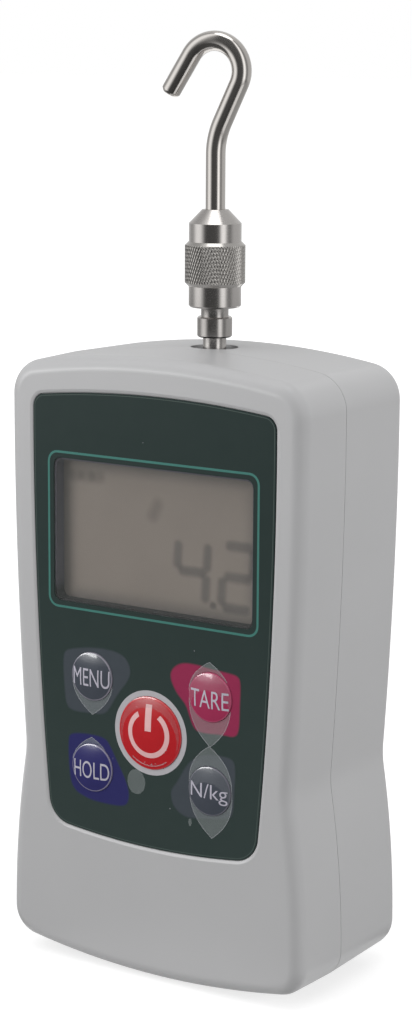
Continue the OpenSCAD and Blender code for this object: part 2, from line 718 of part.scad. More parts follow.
module strain_gauges() color("#c98f4a") for (i = [-1, 1]) for (top = [0, 1])
    translate([i * eye_pitch / 2 - gauge_w / 2, shaft_y - gauge_l / 2,
               top ? cell_top - arm_t - slot_h : cell_z + arm_t + slot_h - ribbon_t])
        cube([gauge_w, gauge_l, ribbon_t]);

module load_cell_bracket() color("#9da3a8") difference() {
    union() {
        block([0, (bracket_z0 + bracket_z1) / 2], bracket_w, bracket_z1 - bracket_z0,
              bracket_y, bracket_back_y);
        block([0, cell_z - foot_t / 2], cell_w, foot_t, cell_y0, bracket_y + cut);
        for (i = [-1, 1]) translate([i * (cell_w / 2 - gusset_t / 2) - gusset_t / 2, 0, 0])
            rotate([90, 0, 90]) linear_extrude(gusset_t)
                polygon([[bracket_y, cell_z - foot_t], [cell_y0 + 2, cell_z - foot_t],
                         [bracket_y, cell_z - foot_t - gusset_h]]);
    }
    bar_z(shaft_y, cell_z - foot_t - cut, cell_z + cut, shaft_d + 4 * lay_fit);
    for (at = bracket_screws_at) bar_y(at, bracket_y - cut, bracket_back_y + cut, screw_d + 2 * lay_fit);
    for (at = mounts_at) bar_y(at, bracket_y - cut, bracket_back_y + cut, spigot_d + 2 * running_fit);
}

module load_cell_bolt() color("#4a4d52") difference() {
    union() {
        bar_z(shaft_y, cell_z - foot_t - bolt_head_h, cell_z - foot_t, bolt_head_d);
        bar_z(shaft_y, cell_z - foot_t - cut, cell_z + bolt_grip - cut, shaft_d);
    }
    translate([0, shaft_y, cell_z - foot_t - bolt_head_h - cut]) cylinder(d = 5.8, h = 3 + cut, $fn = 6);
}

module bracket_screws() color("#b9bcc0") for (at = bracket_screws_at) {
    bar_y(at, bracket_y - screw_head_h, bracket_y, screw_head_d);
    bar_y(at, bracket_y - cut, rear_wall_y - cut / 2, screw_d);
}

module mount_posts() color("#c9a85a") for (at = mounts_at) difference() {
    union() {
        bar_y(at, bracket_back_y, back_y, post_d);
        bar_y(at, bracket_y, bracket_back_y + cut, spigot_d);
    }
    bar_y(at, back_y - mount_depth, back_y + cut, mount_bore_d);
}

module case_screws() color("#6d7074") for (at = case_screws_at) {
    bar_y(at, back_y - screw_sink, back_y - screw_sink + screw_head_h, screw_head_d);
    bar_y(at, split_y - screw_grip, back_y - screw_sink + cut, screw_d);
}

// Profile of the shaft as radius and height, from its lower thread up to its stud
module measuring_shaft() color("#b8bbbe") translate([0, shaft_y, 0]) rotate_extrude() polygon([
    [0, cell_top - arm_t + cut], [shaft_d / 2, cell_top - arm_t + cut],
    [shaft_d / 2, case_h - 4], [neck_d / 2, case_h - 3], [neck_d / 2, collar_z],
    [collar_d / 2 - chamfer, collar_z], [collar_d / 2, collar_z + chamfer],
    [collar_d / 2, thread_z - chamfer], [collar_d / 2 - chamfer, thread_z],
    [shaft_d / 2, thread_z], [shaft_d / 2, adapter_z + stud_l], [0, adapter_z + stud_l]]);

module shaft_lock_nut() color("#a9adb1") difference() {
    translate([0, shaft_y, cell_top]) cylinder(d = nut_af / cos(30), h = nut_h, $fn = 6);
    bar_z(shaft_y, cell_top - cut, cell_top + nut_h + cut, shaft_d + 2 * running_fit);
}

// Turned profile: lower ring, knurled grip, upper ring and cone, bored from both ends
module knurled_adapter() color("#c2c5c8") difference() {
    translate([0, shaft_y, 0]) rotate_extrude() polygon([
        [0, adapter_z], [ring_d / 2 - chamfer, adapter_z], [ring_d / 2, adapter_z + chamfer],
        [ring_d / 2, grip_z], [grip_d / 2, grip_z + chamfer],
        [grip_d / 2, upper_ring_z - chamfer], [ring_d / 2, upper_ring_z],
        [ring_d / 2, cone_z], [cone_top_d / 2, adapter_top], [0, adapter_top]]);
    bar_z(shaft_y, adapter_z - cut, adapter_z + stud_l, shaft_d + 2 * running_fit);
    bar_z(shaft_y, adapter_top - shank_l, adapter_top + cut, wire_d + 2 * running_fit);
}

// Stations along the hook's wire, in the plane of the hook: place, heading and radius
lean_c = [lean_r, shank_rise];
bend_c = lean_c + (lean_r + bend_r) * unit(180 - lean) + lean_run * unit(90 - lean);
tip_heading = bend_sweep - lean + 90;
tip_end = bend_c + bend_r * unit(tip_heading - 90) + tip_run * unit(tip_heading);
wire_stations = concat(
    [[[0, -shank_l], 90, wire_d / 2]],
    [for (i = [0:lean_steps]) let (a = lean * i / lean_steps)
     [lean_c + lean_r * unit(180 - a), 90 - a, wire_d / 2]],
    [for (i = [0:bend_steps]) let (a = bend_sweep * i / bend_steps - lean)
     [bend_c + bend_r * unit(a), a + 90, wire_d / 2]],
    [[tip_end - tip_l * unit(tip_heading), tip_heading, wire_d / 2],
     [tip_end, tip_heading, wire_d / 2 - tip_l * 0.6]]);
// One point of the wire's skin, at an angle round a station
function wire_point(s, a) =
    let (c = s[0] + s[2] * cos(a) * unit(s[1] - 90)) [c[0], s[2] * sin(a), c[1]];

module hook() color("#c6c9cc") translate([0, shaft_y, adapter_top]) rotate([0, 0, hook_turn])
    polyhedron([for (s = wire_stations) for (i = [0:wire_sides - 1]) wire_point(s, 360 * i / wire_sides)],
               skin_faces(wire_sides, len(wire_stations) - 1));

// A key cap: domed crown, body through the case face, rim behind it and stem to the switch
module key_cap(k) {
    crown = k[3] - panel_sink;
    edge = key_edge - panel_sink;
    dome_r = bow_r(crown - edge, k[2] / 2);
    on_face(k[1], 0) {
        intersection() {
            translate([0, 0, -face_depth - cut / 2]) cylinder(d = k[2], h = face_depth + crown + cut);
            translate([0, 0, crown - dome_r]) sphere(dome_r);
        }
        translate([0, 0, -face_depth - key_rim_t]) cylinder(d = k[2] + 2 * key_rim, h = key_rim_t);
        translate([0, 0, -plunger_depth]) cylinder(d = stem_d, h = plunger_depth - face_depth);
    }
}
module power_key() color("#be2328") key_cap(KEYS[0]);
module menu_key() color("#444a52") key_cap(KEYS[1]);
module tare_key() color("#a52d55") key_cap(KEYS[2]);
module hold_key() color("#302c62") key_cap(KEYS[3]);
module unit_key() color("#444a52") key_cap(KEYS[4]);

module plunger(k) color("#e6e2d8") on_face(k[1], plunger_depth)
    translate([0, 0, -plunger_l]) cylinder(d = plunger_d, h = plunger_l);
module power_plunger() plunger(KEYS[0]);
module menu_plunger() plunger(KEYS[1]);
module tare_plunger() plunger(KEYS[2]);
module hold_plunger() plunger(KEYS[3]);
module unit_plunger() plunger(KEYS[4]);

front_case();
rear_case();
panel_overlay();
display_window();
lcd_frame();
lcd_glass();
zebra_strips();
main_board();
board_chips();
key_switches();
board_screws();
buzzer();
io_board();
io_header();
charge_jack();
data_port();
battery_tray();
battery_cells();
battery_leads();
load_cell();
load_cell_bracket();
load_cell_bolt();
strain_gauges();
sensor_ribbon();
bracket_screws();
mount_posts();
case_screws();
measuring_shaft();
shaft_lock_nut();
knurled_adapter();
hook();
power_key();
menu_key();
tare_key();
hold_key();
unit_key();
power_plunger();
menu_plunger();
tare_plunger();
hold_plunger();
unit_plunger();
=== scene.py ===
"""Handheld digital force gauge: the looks of its pieces, a plain studio and the camera."""
import math
from functools import partialmethod

import bmesh
import bpy
from mathutils import Matrix, Vector
from mathutils.geometry import tessellate_polygon


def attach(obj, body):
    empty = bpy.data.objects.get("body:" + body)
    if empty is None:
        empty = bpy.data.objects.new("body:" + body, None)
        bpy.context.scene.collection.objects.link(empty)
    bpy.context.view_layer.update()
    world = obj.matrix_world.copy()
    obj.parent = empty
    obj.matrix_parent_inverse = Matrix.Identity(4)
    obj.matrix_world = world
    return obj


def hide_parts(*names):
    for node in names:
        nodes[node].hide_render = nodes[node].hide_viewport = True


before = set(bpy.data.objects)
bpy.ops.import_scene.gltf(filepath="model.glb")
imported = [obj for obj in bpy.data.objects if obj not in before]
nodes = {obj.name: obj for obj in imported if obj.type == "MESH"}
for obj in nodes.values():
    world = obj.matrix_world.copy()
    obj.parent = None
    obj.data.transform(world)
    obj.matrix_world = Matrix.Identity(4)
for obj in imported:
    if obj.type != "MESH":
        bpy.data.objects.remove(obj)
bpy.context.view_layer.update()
scene = bpy.context.scene
MM = 0.001

# Sizes in millimetres, as the solids have them
CASE_H, SHOULDER_W, WAIST_W, BASE_W = 135.5, 75.0, 69.8, 76.4
WAIST_Z, SHOULDER_Z, BASE_Z = 46.7, 122.0, 9.0
CROWN_R, TOP_CORNER_R, BASE_CORNER_R, WAIST_R = 190.0, 8.0, 7.0, 22.0
FRONT_Y, BACK_Y, SPLIT_Y = -21.0, 21.0, -4.8
FRONT_EDGE_R, REAR_EDGE_R, DRAFT, WALL = 3.0, 4.0, 0.35, 2.4
PANEL_TOP, PANEL_BOTTOM, PANEL_W, PANEL_WIDE_Z = 127.4, 29.7, 61.4, 117.9
PANEL_SIDE_R, PANEL_TOP_R, PANEL_BOTTOM_R = 900.0, 240.0, 170.0
PANEL_UPPER_R, PANEL_LOWER_R = 3.0, 6.0
PANEL_Y, PANEL_BACK_Y, FACE_Y, REAR_WALL_Y = -20.85, -20.4, -18.3, 18.6
LAY_FIT, RUN_FIT = 0.1, 0.05
WINDOW_W, WINDOW_H, WINDOW_Z, WINDOW_R, WINDOW_SEAT = 50.4, 31.0, 96.7, 1.6, 0.8
LCD_Y, LEDGE_SHADOW_Z = -17.8, 82.0
KEY_D, POWER_D = 10.6, 15.9
KEY_RIM, KEY_RIM_T, RIM_DEPTH, STEM_R, PLUNGER_DEPTH = 1.2, 0.8, 2.7, 2.0, 4.3
KEYS = {"power": (0.0, 55.3, POWER_D, 0.95), "menu": (-15.2, 65.45, KEY_D, 0.75),
        "tare": (15.2, 65.45, KEY_D, 0.75), "hold": (-15.2, 45.15, KEY_D, 0.75),
        "unit": (15.2, 45.15, KEY_D, 0.75)}
KEY_EDGE = 0.1
SHAFT_Y, SHAFT_HOLE_D = 3.0, 10.2
ADAPTER_Z, GRIP_Z, UPPER_RING_Z, CONE_Z, ADAPTER_TOP = 143.9, 148.4, 157.8, 161.7, 164.6
RING_R, GRIP_R, CONE_R, ADAPTER_CHAMFER = 5.6, 6.45, 2.8, 0.75
SCREWS_AT = [(-29.5, 122.5), (29.5, 122.5), (-31.2, 14.0), (31.2, 14.0)]
MOUNTS_AT = [(-15.0, 55.0), (-15.0, 105.0), (15.0, 55.0), (15.0, 105.0)]
SOCKET_X, SOCKET_END_X, SOCKET_Y, JACK_Z, PORT_Z = -33.8, -24.0, 4.0, 100.0, 87.0
JACK_WALL_X, PORT_WALL_X = -37.14, -36.8
JACK_W, JACK_R, JACK_PIN_R = 9.0, 3.1, 1.0
PORT_W, PORT_H, PORT_WALL, TONGUE_T, TONGUE_H = 4.0, 8.0, 0.4, 0.8, 5.2
POST_R, SPIGOT_R, POST_STEP_Y, POST_END_Y = 4.0, 3.0, 15.0, 11.0
POST_BORE_R, POST_THREAD_R, POST_PITCH, POST_BORE_DEPTH = 1.65, 2.0, 0.7, 8.0
SCREW_HOLE_R, SCREW_HOLE_DEPTH, POST_HOLE_R = 3.0, 2.2, 4.1
JACK_HOLE_R, PORT_HOLE_W, PORT_HOLE_H = 3.9, 5.2, 9.2


class Wire:
    """A node's output that can be used in sums."""

    def __init__(self, graph, socket):
        self.graph, self.socket = graph, socket

    def math(self, operation, other=0.0):
        return self.graph.node("ShaderNodeMath", {0: self, 1: other}, operation=operation)

    __add__ = __radd__ = partialmethod(math, "ADD")
    __sub__ = partialmethod(math, "SUBTRACT")
    __mul__ = __rmul__ = partialmethod(math, "MULTIPLY")
    least = partialmethod(math, "MINIMUM")
    most = partialmethod(math, "MAXIMUM")
    above = partialmethod(math, "GREATER_THAN")
    size = partialmethod(math, "ABSOLUTE")
    sine = partialmethod(math, "SINE")
    cosine = partialmethod(math, "COSINE")

    def __rsub__(self, other):
        return self * -1.0 + other

    def saw(self):
        """0 at whole numbers and 1 halfway between them."""
        return self.math("PINGPONG", 0.5) * 2.0


class Graph:
    """A node tree that is filled node by node."""

    def __init__(self, tree):
        self.tree = tree

    def fill(self, made, sockets):
        """Sets a node's inputs, or links them where they are given wires."""
        for key, value in sockets.items():
            for each in value if isinstance(value, list) else [value]:
                if isinstance(each, Wire):
                    self.tree.links.new(each.socket, made.inputs[key])
                else:
                    made.inputs[key].default_value = each

    def node(self, kind, sockets=None, out=0, **settings):
        """A new node, with its settings made before its inputs: the wire of one output, where it has any."""
        made = self.tree.nodes.new(kind)
        for key, value in settings.items():
            setattr(made, key, value)
        self.fill(made, sockets or {})
        return Wire(self, made.outputs[out]) if made.outputs else made

    def marked(self, name):
        """The value of a mark on the piece's points."""
        return self.node("ShaderNodeAttribute", out="Fac", attribute_name=name)

    def ramp(self, value, low, high):
        """0 below low, 1 above high and soft between."""
        return self.node("ShaderNodeMapRange", {0: value, 1: low, 2: high, 3: 0.0, 4: 1.0},
                         interpolation_type="SMOOTHSTEP")


def ink(red, green, blue):
    """A screen colour of 0 to 255 as linear light."""
    parts = [v / 255 for v in (red, green, blue)]
    return tuple([v / 12.92 if v <= 0.04045 else ((v + 0.055) / 1.055) ** 2.4 for v in parts] + [1.0])


class Finish(Graph):
    """A surface finish on one Principled shader."""

    def __init__(self, name, blended=False, **values):
        self.material = bpy.data.materials.new(name)
        self.material.use_nodes = True
        if blended:
            self.material.surface_render_method = "BLENDED"
        super().__init__(self.material.node_tree)
        self.place = self.node("ShaderNodeTexCoord", out="Object")
        self.set(**values)

    def set(self, **values):
        """Sets the shader's inputs, with an underscore for each space in their names."""
        shader = self.tree.nodes["Principled BSDF"]
        self.fill(shader, {key.replace("_", " "): value for key, value in values.items()})
        return self

    def noise(self, per_mm, detail=2.0, stretch=None):
        """A cloudy value of 0 to 1 with so many patches to the millimetre."""
        place = self.place
        if stretch:
            place = self.node("ShaderNodeMapping", {"Vector": place, "Scale": stretch})
        return self.node("ShaderNodeTexNoise", {"Vector": place, "Scale": per_mm / MM, "Detail": detail})

    def axis(self, letter):
        """The place along one axis in millimetres."""
        return self.node("ShaderNodeSeparateXYZ", {0: self.place}, letter) * (1 / MM)

    def mix(self, share, first, second):
        return self.node("ShaderNodeMix", {0: share, 6: first, 7: second}, 2, data_type="RGBA")

    def cloud(self, colour, low, high, per_mm, detail=2.0):
        """A colour that drifts between two shades of itself."""
        return self.mix(self.noise(per_mm, detail), shaded(colour, low), shaded(colour, high))

    def bump(self, height, depth_mm):
        return self.node("ShaderNodeBump", {"Strength": 1.0, "Distance": depth_mm * MM, "Height": height})


def shaded(colour, share):
    """The same colour, lighter or darker by a share."""
    return tuple([min(1.0, v * share) for v in colour[:3]] + [1.0])


# Finishes

def case_plastic():
    """Satin moulded plastic with a fine spark-eroded grain and faint flow marks."""
    made = Finish("case_grey", Specular_IOR_Level=0.4)
    grain = made.noise(3.5)
    return made.set(Base_Color=made.cloud(ink(174, 174, 175), 0.965, 1.035, 0.03, 3.0),
                    Roughness=0.31 + 0.1 * grain, Normal=made.bump(grain, 0.003))


def sheet_colour_and_light(made):
    """The panel's printed ground with the faint mottling of the ink, and painted light: it is painted a
    little paler towards its foot.
    """
    # Painted light: the ground goes from a dimmer top to a paler, lit foot.
    low = made.ramp(made.axis("Z") * -1.0, -PANEL_TOP, -PANEL_BOTTOM)
    return made.mix(low * 0.8 + made.noise(0.25, 3.0) * 0.2, PANEL_DIM_TOP, PANEL_LIT_FOOT)


def printed(name, colour, roughness=0.3):
    """Ink on the panel sheet. The mark called print fades it into the ground at its edge."""
    made = Finish(name, Specular_IOR_Level=0.12)
    shade = made.cloud(colour, 0.94, 1.06, 0.6, 3.0)
    return made.set(Base_Color=made.mix(made.marked("print"), sheet_colour_and_light(made), shade),
                    Roughness=roughness + 0.08 * made.noise(2.0), Normal=made.bump(made.noise(5.0), 0.0015))


def film(name, colour, alpha):
    """Pale see-through film: film that stands off the panel and looks paler there, and the painted highlights
    and glints on the domes.
    """
    made = Finish(name, blended=True, Alpha=alpha)
    return made.set(Base_Color=made.cloud(colour, 0.9, 1.1, 0.3), Roughness=0.18 + 0.08 * made.noise(1.0))


def key_finish(name, colour, line):
    """Glossy embossed key with a thin pale line round its edge: its embossed rim, with the light it catches
    painted on.
    """
    made = Finish(name, Specular_IOR_Level=0.35, Coat_Roughness=0.06)
    cloud = made.noise(0.5, 3.0)
    face = made.mix(cloud, shaded(colour, 0.92), shaded(colour, 1.08))
    return made.set(Base_Color=made.mix(made.marked("edge"), face, line), Coat_Weight=0.5 + 0.2 * cloud,
                    Roughness=0.2 + 0.08 * made.noise(1.5), Normal=made.bump(made.noise(3.0), 0.0012))


def metal(name, colour, roughness, depth=0.0008, streak=None, fine=2.0):
    """Bare metal with tool marks, drawn out along one axis where there is a streak."""
    made = Finish(name, Metallic=1.0)
    marks = made.noise(fine, 2.0, streak)
    return made.set(Base_Color=made.cloud(colour, 0.94, 1.04, 0.12, 3.0),
                    Roughness=roughness * 0.8 + roughness * 0.4 * marks, Normal=made.bump(marks, depth))


def plain_plastic(name, colour, roughness):
    made = Finish(name)
    return made.set(Base_Color=made.cloud(colour, 0.85, 1.15, 0.4, 3.0),
                    Roughness=roughness - 0.06 + 0.12 * made.noise(1.5),
                    Normal=made.bump(made.noise(4.0), 0.003))


# Painted light: the ground tone of the panel at its top and at its paler, lit foot.
PANEL_DIM_TOP, PANEL_LIT_FOOT = ink(36, 49, 47), ink(51, 62, 60)
# Painted rim highlight round the edges of the slate and indigo keys.
RIM_HIGHLIGHT = ink(178, 172, 186)

case_finish = case_plastic()
sheet_finish = printed("panel_sheet", ink(42, 54, 51))
slate_print = printed("slate_print", ink(65, 71, 77))
magenta_print = printed("magenta_print", ink(138, 43, 75))
indigo_print = printed("indigo_print", ink(44, 44, 93))
teal_line = printed("teal_line", ink(65, 116, 108))
pale_ring = printed("pale_ring", ink(171, 169, 173))
edge_line = printed("sheet_edge_line", ink(74, 86, 82))
letter_ink = printed("letter_ink", ink(178, 175, 187), 0.26)
symbol_ink = printed("symbol_ink", ink(214, 172, 172), 0.26)
pocket_film = film("pocket_film", ink(172, 180, 180), 0.235)
# Pale line of the film pockets. It also paints the glints on the power dome and the film specks.
pocket_line = film("pocket_line", ink(214, 216, 222), 0.3)
# Painted highlight: pale film on the domes, where they mirror the lamps.
dome_film = film("dome_film", ink(176, 180, 184), 0.1)
# The last colour of each key is the pale line round its edge, a painted rim highlight.
red_key = key_finish("key_red", ink(177, 26, 33), ink(196, 80, 84))
slate_key = key_finish("key_slate", ink(66, 71, 80), RIM_HIGHLIGHT)
magenta_key = key_finish("key_magenta", ink(155, 44, 81), ink(206, 120, 150))
indigo_key = key_finish("key_indigo", ink(44, 43, 97), RIM_HIGHLIGHT)
steel = metal("polished_steel", (0.66, 0.63, 0.6), 0.14, 0.00025)
turned = metal("turned_steel", (0.6, 0.575, 0.555), 0.2, 0.0012, (0.05, 0.05, 1.0), 6.0)
knurl_steel = metal("knurled_steel", (0.56, 0.54, 0.515), 0.2, fine=3.0)
zinc = metal("zinc_plate", (0.5, 0.51, 0.52), 0.3)
oxide = metal("black_oxide", (0.09, 0.09, 0.1), 0.4)
alloy = metal("machined_alloy", (0.56, 0.58, 0.6), 0.32, 0.002, (0.05, 1.0, 1.0), 3.0)
gilt = metal("gilt_contacts", (0.72, 0.52, 0.2), 0.25)
bright_shell = metal("bright_shell", (0.62, 0.63, 0.64), 0.26)
black_plastic = plain_plastic("black_plastic", ink(38, 39, 41), 0.42)
tray_dark = plain_plastic("tray_dark", ink(58, 61, 64), 0.5)
plunger_white = plain_plastic("plunger_white", ink(228, 224, 214), 0.4)
elastomer = plain_plastic("elastomer", ink(214, 168, 160), 0.7)
lead_red = plain_plastic("lead_red", ink(176, 48, 48), 0.45)


def window_finish():
    """Clear window sheet with a faint haze."""
    made = Finish("clear_window", blended=True, Alpha=0.05, Specular_IOR_Level=0.3)
    return made.set(Base_Color=made.mix(made.noise(0.1), ink(150, 156, 154), ink(170, 176, 172)),
                    Roughness=0.06 + 0.06 * made.noise(0.5))


def display_finish():
    """Display glass: grey with a faint cloud, and painted shade, darker and cooler, round its rim."""
    made = Finish("display_glass", Specular_IOR_Level=0.15)
    across = made.axis("X").size()
    up = (made.axis("Z") - WINDOW_Z).size()
    # Painted shade: darker and cooler round the rim of the display.
    rim_shade = made.ramp(across, 20.5, 25.5).most(made.ramp(up, 11.5, 16.0))
    body = made.mix(made.noise(0.06, 3.0), ink(122, 113, 106), ink(129, 120, 112))
    return made.set(Base_Color=made.mix(rim_shade * 0.7, body, ink(84, 81, 80)),
                    Roughness=0.42 + 0.06 * made.noise(0.3))


def frame_finish():
    """Dark frame round the display, with painted shadow along its lower ledge."""
    made = Finish("frame_dark", Specular_IOR_Level=0.2)
    wall = made.mix(made.noise(0.4, 3.0), ink(84, 81, 89), ink(93, 90, 98))
    # Painted shadow: the frame turns darker below the ledge.
    rise = made.ramp(made.axis("Z"), LEDGE_SHADOW_Z, LEDGE_SHADOW_Z + 4.0)
    return made.set(Base_Color=made.mix(rise, ink(46, 45, 47), wall), Roughness=0.5 + 0.12 * made.noise(1.5),
                    Normal=made.bump(made.noise(4.0), 0.003))


def segment_finish(name, colour, strength):
    """A segment in the display, as dark as the mark called print says."""
    made = Finish(name, blended=True, Specular_IOR_Level=0.1)
    return made.set(Base_Color=made.cloud(colour, 0.9, 1.1, 0.4), Roughness=0.42 + 0.06 * made.noise(0.3),
                    Alpha=made.marked("print") * strength)


def board_finish():
    """Green board with copper tracks that show through its lacquer."""
    made = Finish("board_green", Coat_Roughness=0.15)
    tracks = (made.axis("X") * 0.8).saw().above(0.72).most((made.axis("Z") * 0.55).saw().above(0.78))
    tracks = tracks * made.noise(0.15).above(0.5)
    return made.set(Base_Color=made.mix(tracks, ink(34, 92, 52), ink(70, 128, 74)),
                    Roughness=0.34 + 0.12 * made.noise(1.0), Coat_Weight=0.3 + 0.2 * made.noise(0.5),
                    Normal=made.bump(tracks, 0.02))


def wrap_finish():
    """Shrink-wrapped cells with a printed band."""
    made = Finish("cell_wrap")
    across = made.axis("X")
    band = made.ramp(across, 8.0, 8.4) - made.ramp(across, 15.0, 15.4)
    return made.set(Base_Color=made.mix(band, ink(62, 142, 104), ink(214, 220, 214)),
                    Roughness=0.3 + 0.1 * made.noise(1.0), Normal=made.bump(made.noise(0.5), 0.01))


def foil_finish():
    """Amber film with etched lines."""
    made = Finish("amber_foil")
    lines = (made.axis("X") * 1.2).saw().above(0.6)
    return made.set(Base_Color=made.mix(lines, ink(200, 142, 74), ink(156, 100, 52)),
                    Roughness=0.32 + 0.1 * made.noise(1.0))


def brass_finish():
    """Turned brass with rings round each post's own axis."""
    made = Finish("turned_brass", Metallic=1.0)
    rings = made.node("ShaderNodeTexNoise", {"W": made.marked("ring") * 9.0, "Detail": 2.0},
                      noise_dimensions="1D")
    colour = made.mix(made.noise(0.3, 3.0), (0.54, 0.37, 0.11, 1.0), (0.64, 0.46, 0.16, 1.0))
    return made.set(Base_Color=colour, Roughness=0.24 + 0.14 * rings, Normal=made.bump(rings, 0.004))


clear_window = window_finish()
brass = brass_finish()
display_glass = display_finish()
frame_dark = frame_finish()
display_digit = segment_finish("display_digit", ink(62, 64, 74), 0.27)
faint_segment = segment_finish("faint_segment", ink(66, 66, 64), 0.16)
board_green = board_finish()
cell_wrap = wrap_finish()
amber_foil = foil_finish()


# Outlines of the case and of the panel as tangent arcs

def unit(angle):
    return Vector((math.cos(math.radians(angle)), math.sin(math.radians(angle))))


def heading(v):
    return math.degrees(math.atan2(v.y, v.x))


def bow_r(sag, chord):
    return (chord * chord + sag * sag) / (2 * sag)


def crossing(c1, r1, c2, r2, near):
    """The crossing of two circles that is nearer to a given point."""
    v = c2 - c1
    a = (v.length_squared + r1 * r1 - r2 * r2) / (2 * v.length)
    foot = c1 + v * (a / v.length)
    side = Vector((-v.y, v.x)) * (math.sqrt(r1 * r1 - a * a) / v.length)
    return min((foot + side, foot - side), key=lambda p: (p - near).length)


def tangent_centre(c1, r1, c2, r2, r, near):
    """The centre of an arc that touches two circles from inside, or from outside where r is negative."""
    return crossing(c1, r1 - r, c2, r2 - r, near)


def arc_chain(*links):
    """Tangent arcs from the top to the foot. A link is a centre, a radius, a side and a number of steps."""
    turns = [90]
    for (c1, r1, _, _), (c2, r2, _, _) in zip(links, links[1:]):
        turns.append(heading(c2 - c1 if r1 > r2 else c1 - c2))
    return [(c, r, s, a0, a1, n) for (c, r, s, n), a0, a1 in zip(links, turns, turns[1:] + [-90])]


def case_outline():
    shoulder_r = bow_r((SHOULDER_W - WAIST_W) / 2, SHOULDER_Z - WAIST_Z)
    base_r = bow_r((BASE_W - WAIST_W) / 2, WAIST_Z - BASE_Z)
    top, bottom = Vector((0, CASE_H - CROWN_R)), Vector((0, CROWN_R))
    shoulder = Vector((SHOULDER_W / 2 - shoulder_r, SHOULDER_Z))
    base = Vector((BASE_W / 2 - base_r, BASE_Z))
    upper = tangent_centre(top, CROWN_R, shoulder, shoulder_r, TOP_CORNER_R, Vector((SHOULDER_W / 2, CASE_H)))
    waist = tangent_centre(shoulder, shoulder_r, base, base_r, -WAIST_R, Vector((WAIST_W / 2, WAIST_Z)))
    lower = tangent_centre(bottom, CROWN_R, base, base_r, BASE_CORNER_R, Vector((BASE_W / 2, 0)))
    return arc_chain((top, CROWN_R, 1, 16), (upper, TOP_CORNER_R, 1, 16), (shoulder, shoulder_r, 1, 20),
                     (waist, WAIST_R, -1, 14), (base, base_r, 1, 16), (lower, BASE_CORNER_R, 1, 16),
                     (bottom, CROWN_R, 1, 16))


def panel_outline():
    top, bottom = Vector((0, PANEL_TOP - PANEL_TOP_R)), Vector((0, PANEL_BOTTOM + PANEL_BOTTOM_R))
    side = Vector((PANEL_W / 2 - PANEL_SIDE_R, PANEL_WIDE_Z))
    upper = tangent_centre(top, PANEL_TOP_R, side, PANEL_SIDE_R, PANEL_UPPER_R,
                           Vector((PANEL_W / 2, PANEL_TOP)))
    lower = tangent_centre(bottom, PANEL_BOTTOM_R, side, PANEL_SIDE_R, PANEL_LOWER_R,
                           Vector((PANEL_W / 2, PANEL_BOTTOM)))
    return arc_chain((top, PANEL_TOP_R, 1, 14), (upper, PANEL_UPPER_R, 1, 12), (side, PANEL_SIDE_R, 1, 20),
                     (lower, PANEL_LOWER_R, 1, 14), (bottom, PANEL_BOTTOM_R, 1, 14))


def outline(arcs, inset=0.0):
    """Points of a closed outline, from the top down the right side and up the left side."""
    half = []
    for c, r, s, a0, a1, n in arcs:
        half += [c + (s * r - inset) * unit(a0 + (a1 - a0) * i / n) for i in range(1 if half else 0, n + 1)]
    return half + [Vector((-p.x, p.y)) for p in half[-2:0:-1]]


def round_rect(x, z, w, h, r, steps=6):
    corners = [(1, 1, 90), (1, -1, 0), (-1, -1, -90), (-1, 1, -180)]
    return [Vector((x + i * (w / 2 - r), z + k * (h / 2 - r))) + r * unit(a - 90 * n / steps)
            for i, k, a in corners for n in range(steps + 1)]


def circle(x, z, r, count=64):
    return [Vector((x, z)) + r * unit(-360 * i / count) for i in range(count)]


CASE_ARCS, PANEL_ARCS = case_outline(), panel_outline()
SHARP, FINE_SHARP = 35.0, 20.0


# Meshes

def at_depth(points, y):
    """Flat points at a depth."""
    return [(p.x, y, p.y) for p in points]


def row(shape, points):
    """New points of a shape, given in millimetres."""
    return [shape.verts.new(Vector(p) * MM) for p in points]


def bridge(shape, low, high):
    """A closed band of faces between two rows of points."""
    for i in range(len(low)):
        j = (i + 1) % len(low)
        shape.faces.new((low[i], low[j], high[j], high[i]))


def sew(rings, ends="capped"):
    """A skin over rings of points. Its ends are capped, open, or sewn to each other."""
    shape = bmesh.new()
    rows = [row(shape, ring) for ring in rings]
    for low, high in zip(rows, rows[1:] + (rows[:1] if ends == "sewn" else [])):
        bridge(shape, low, high)
    if ends == "capped":
        shape.faces.new(rows[0])
        shape.faces.new(rows[-1])
    bmesh.ops.recalc_face_normals(shape, faces=shape.faces)
    return shape


def loft(arcs, planes, ends="capped"):
    """A skin through one outline at several planes, each given as depth and inset."""
    return sew([at_depth(outline(arcs, inset), y) for y, inset in planes], ends)


def prism(points, y0, y1):
    return sew([at_depth(points, y) for y in (y0, y1)])


def spun(profile, count, put):
    """A closed turned skin. The profile lists radius and height, and put places a point of the axis."""
    turns = [2 * math.pi * i / count for i in range(count)]
    shape = sew([[put(r * math.cos(a), r * math.sin(a), h) for a in turns] for r, h in profile], "open")
    bmesh.ops.remove_doubles(shape, verts=shape.verts, dist=1e-7)
    bmesh.ops.recalc_face_normals(shape, faces=shape.faces)
    return shape


def joined(*shapes):
    """Several shapes in one, each still a closed skin of its own."""
    whole = bmesh.new()
    for shape in shapes:
        part = bpy.data.meshes.new("part")
        shape.to_mesh(part)
        shape.free()
        whole.from_mesh(part)
        bpy.data.meshes.remove(part)
    return whole


def new_object(name, data):
    made = bpy.data.objects.new(name, data)
    scene.collection.objects.link(made)
    return made


def place_object(name, shape):
    """A new object with a shape as its mesh."""
    mesh = bpy.data.meshes.new(name)
    shape.to_mesh(mesh)
    shape.free()
    return new_object(name, mesh)


def plain_mesh(made):
    """What an object looks like with its modifiers or its text, as a mesh."""
    graph = bpy.context.evaluated_depsgraph_get()
    return bpy.data.meshes.new_from_object(made.evaluated_get(graph), preserve_all_data_layers=True,
                                           depsgraph=graph)


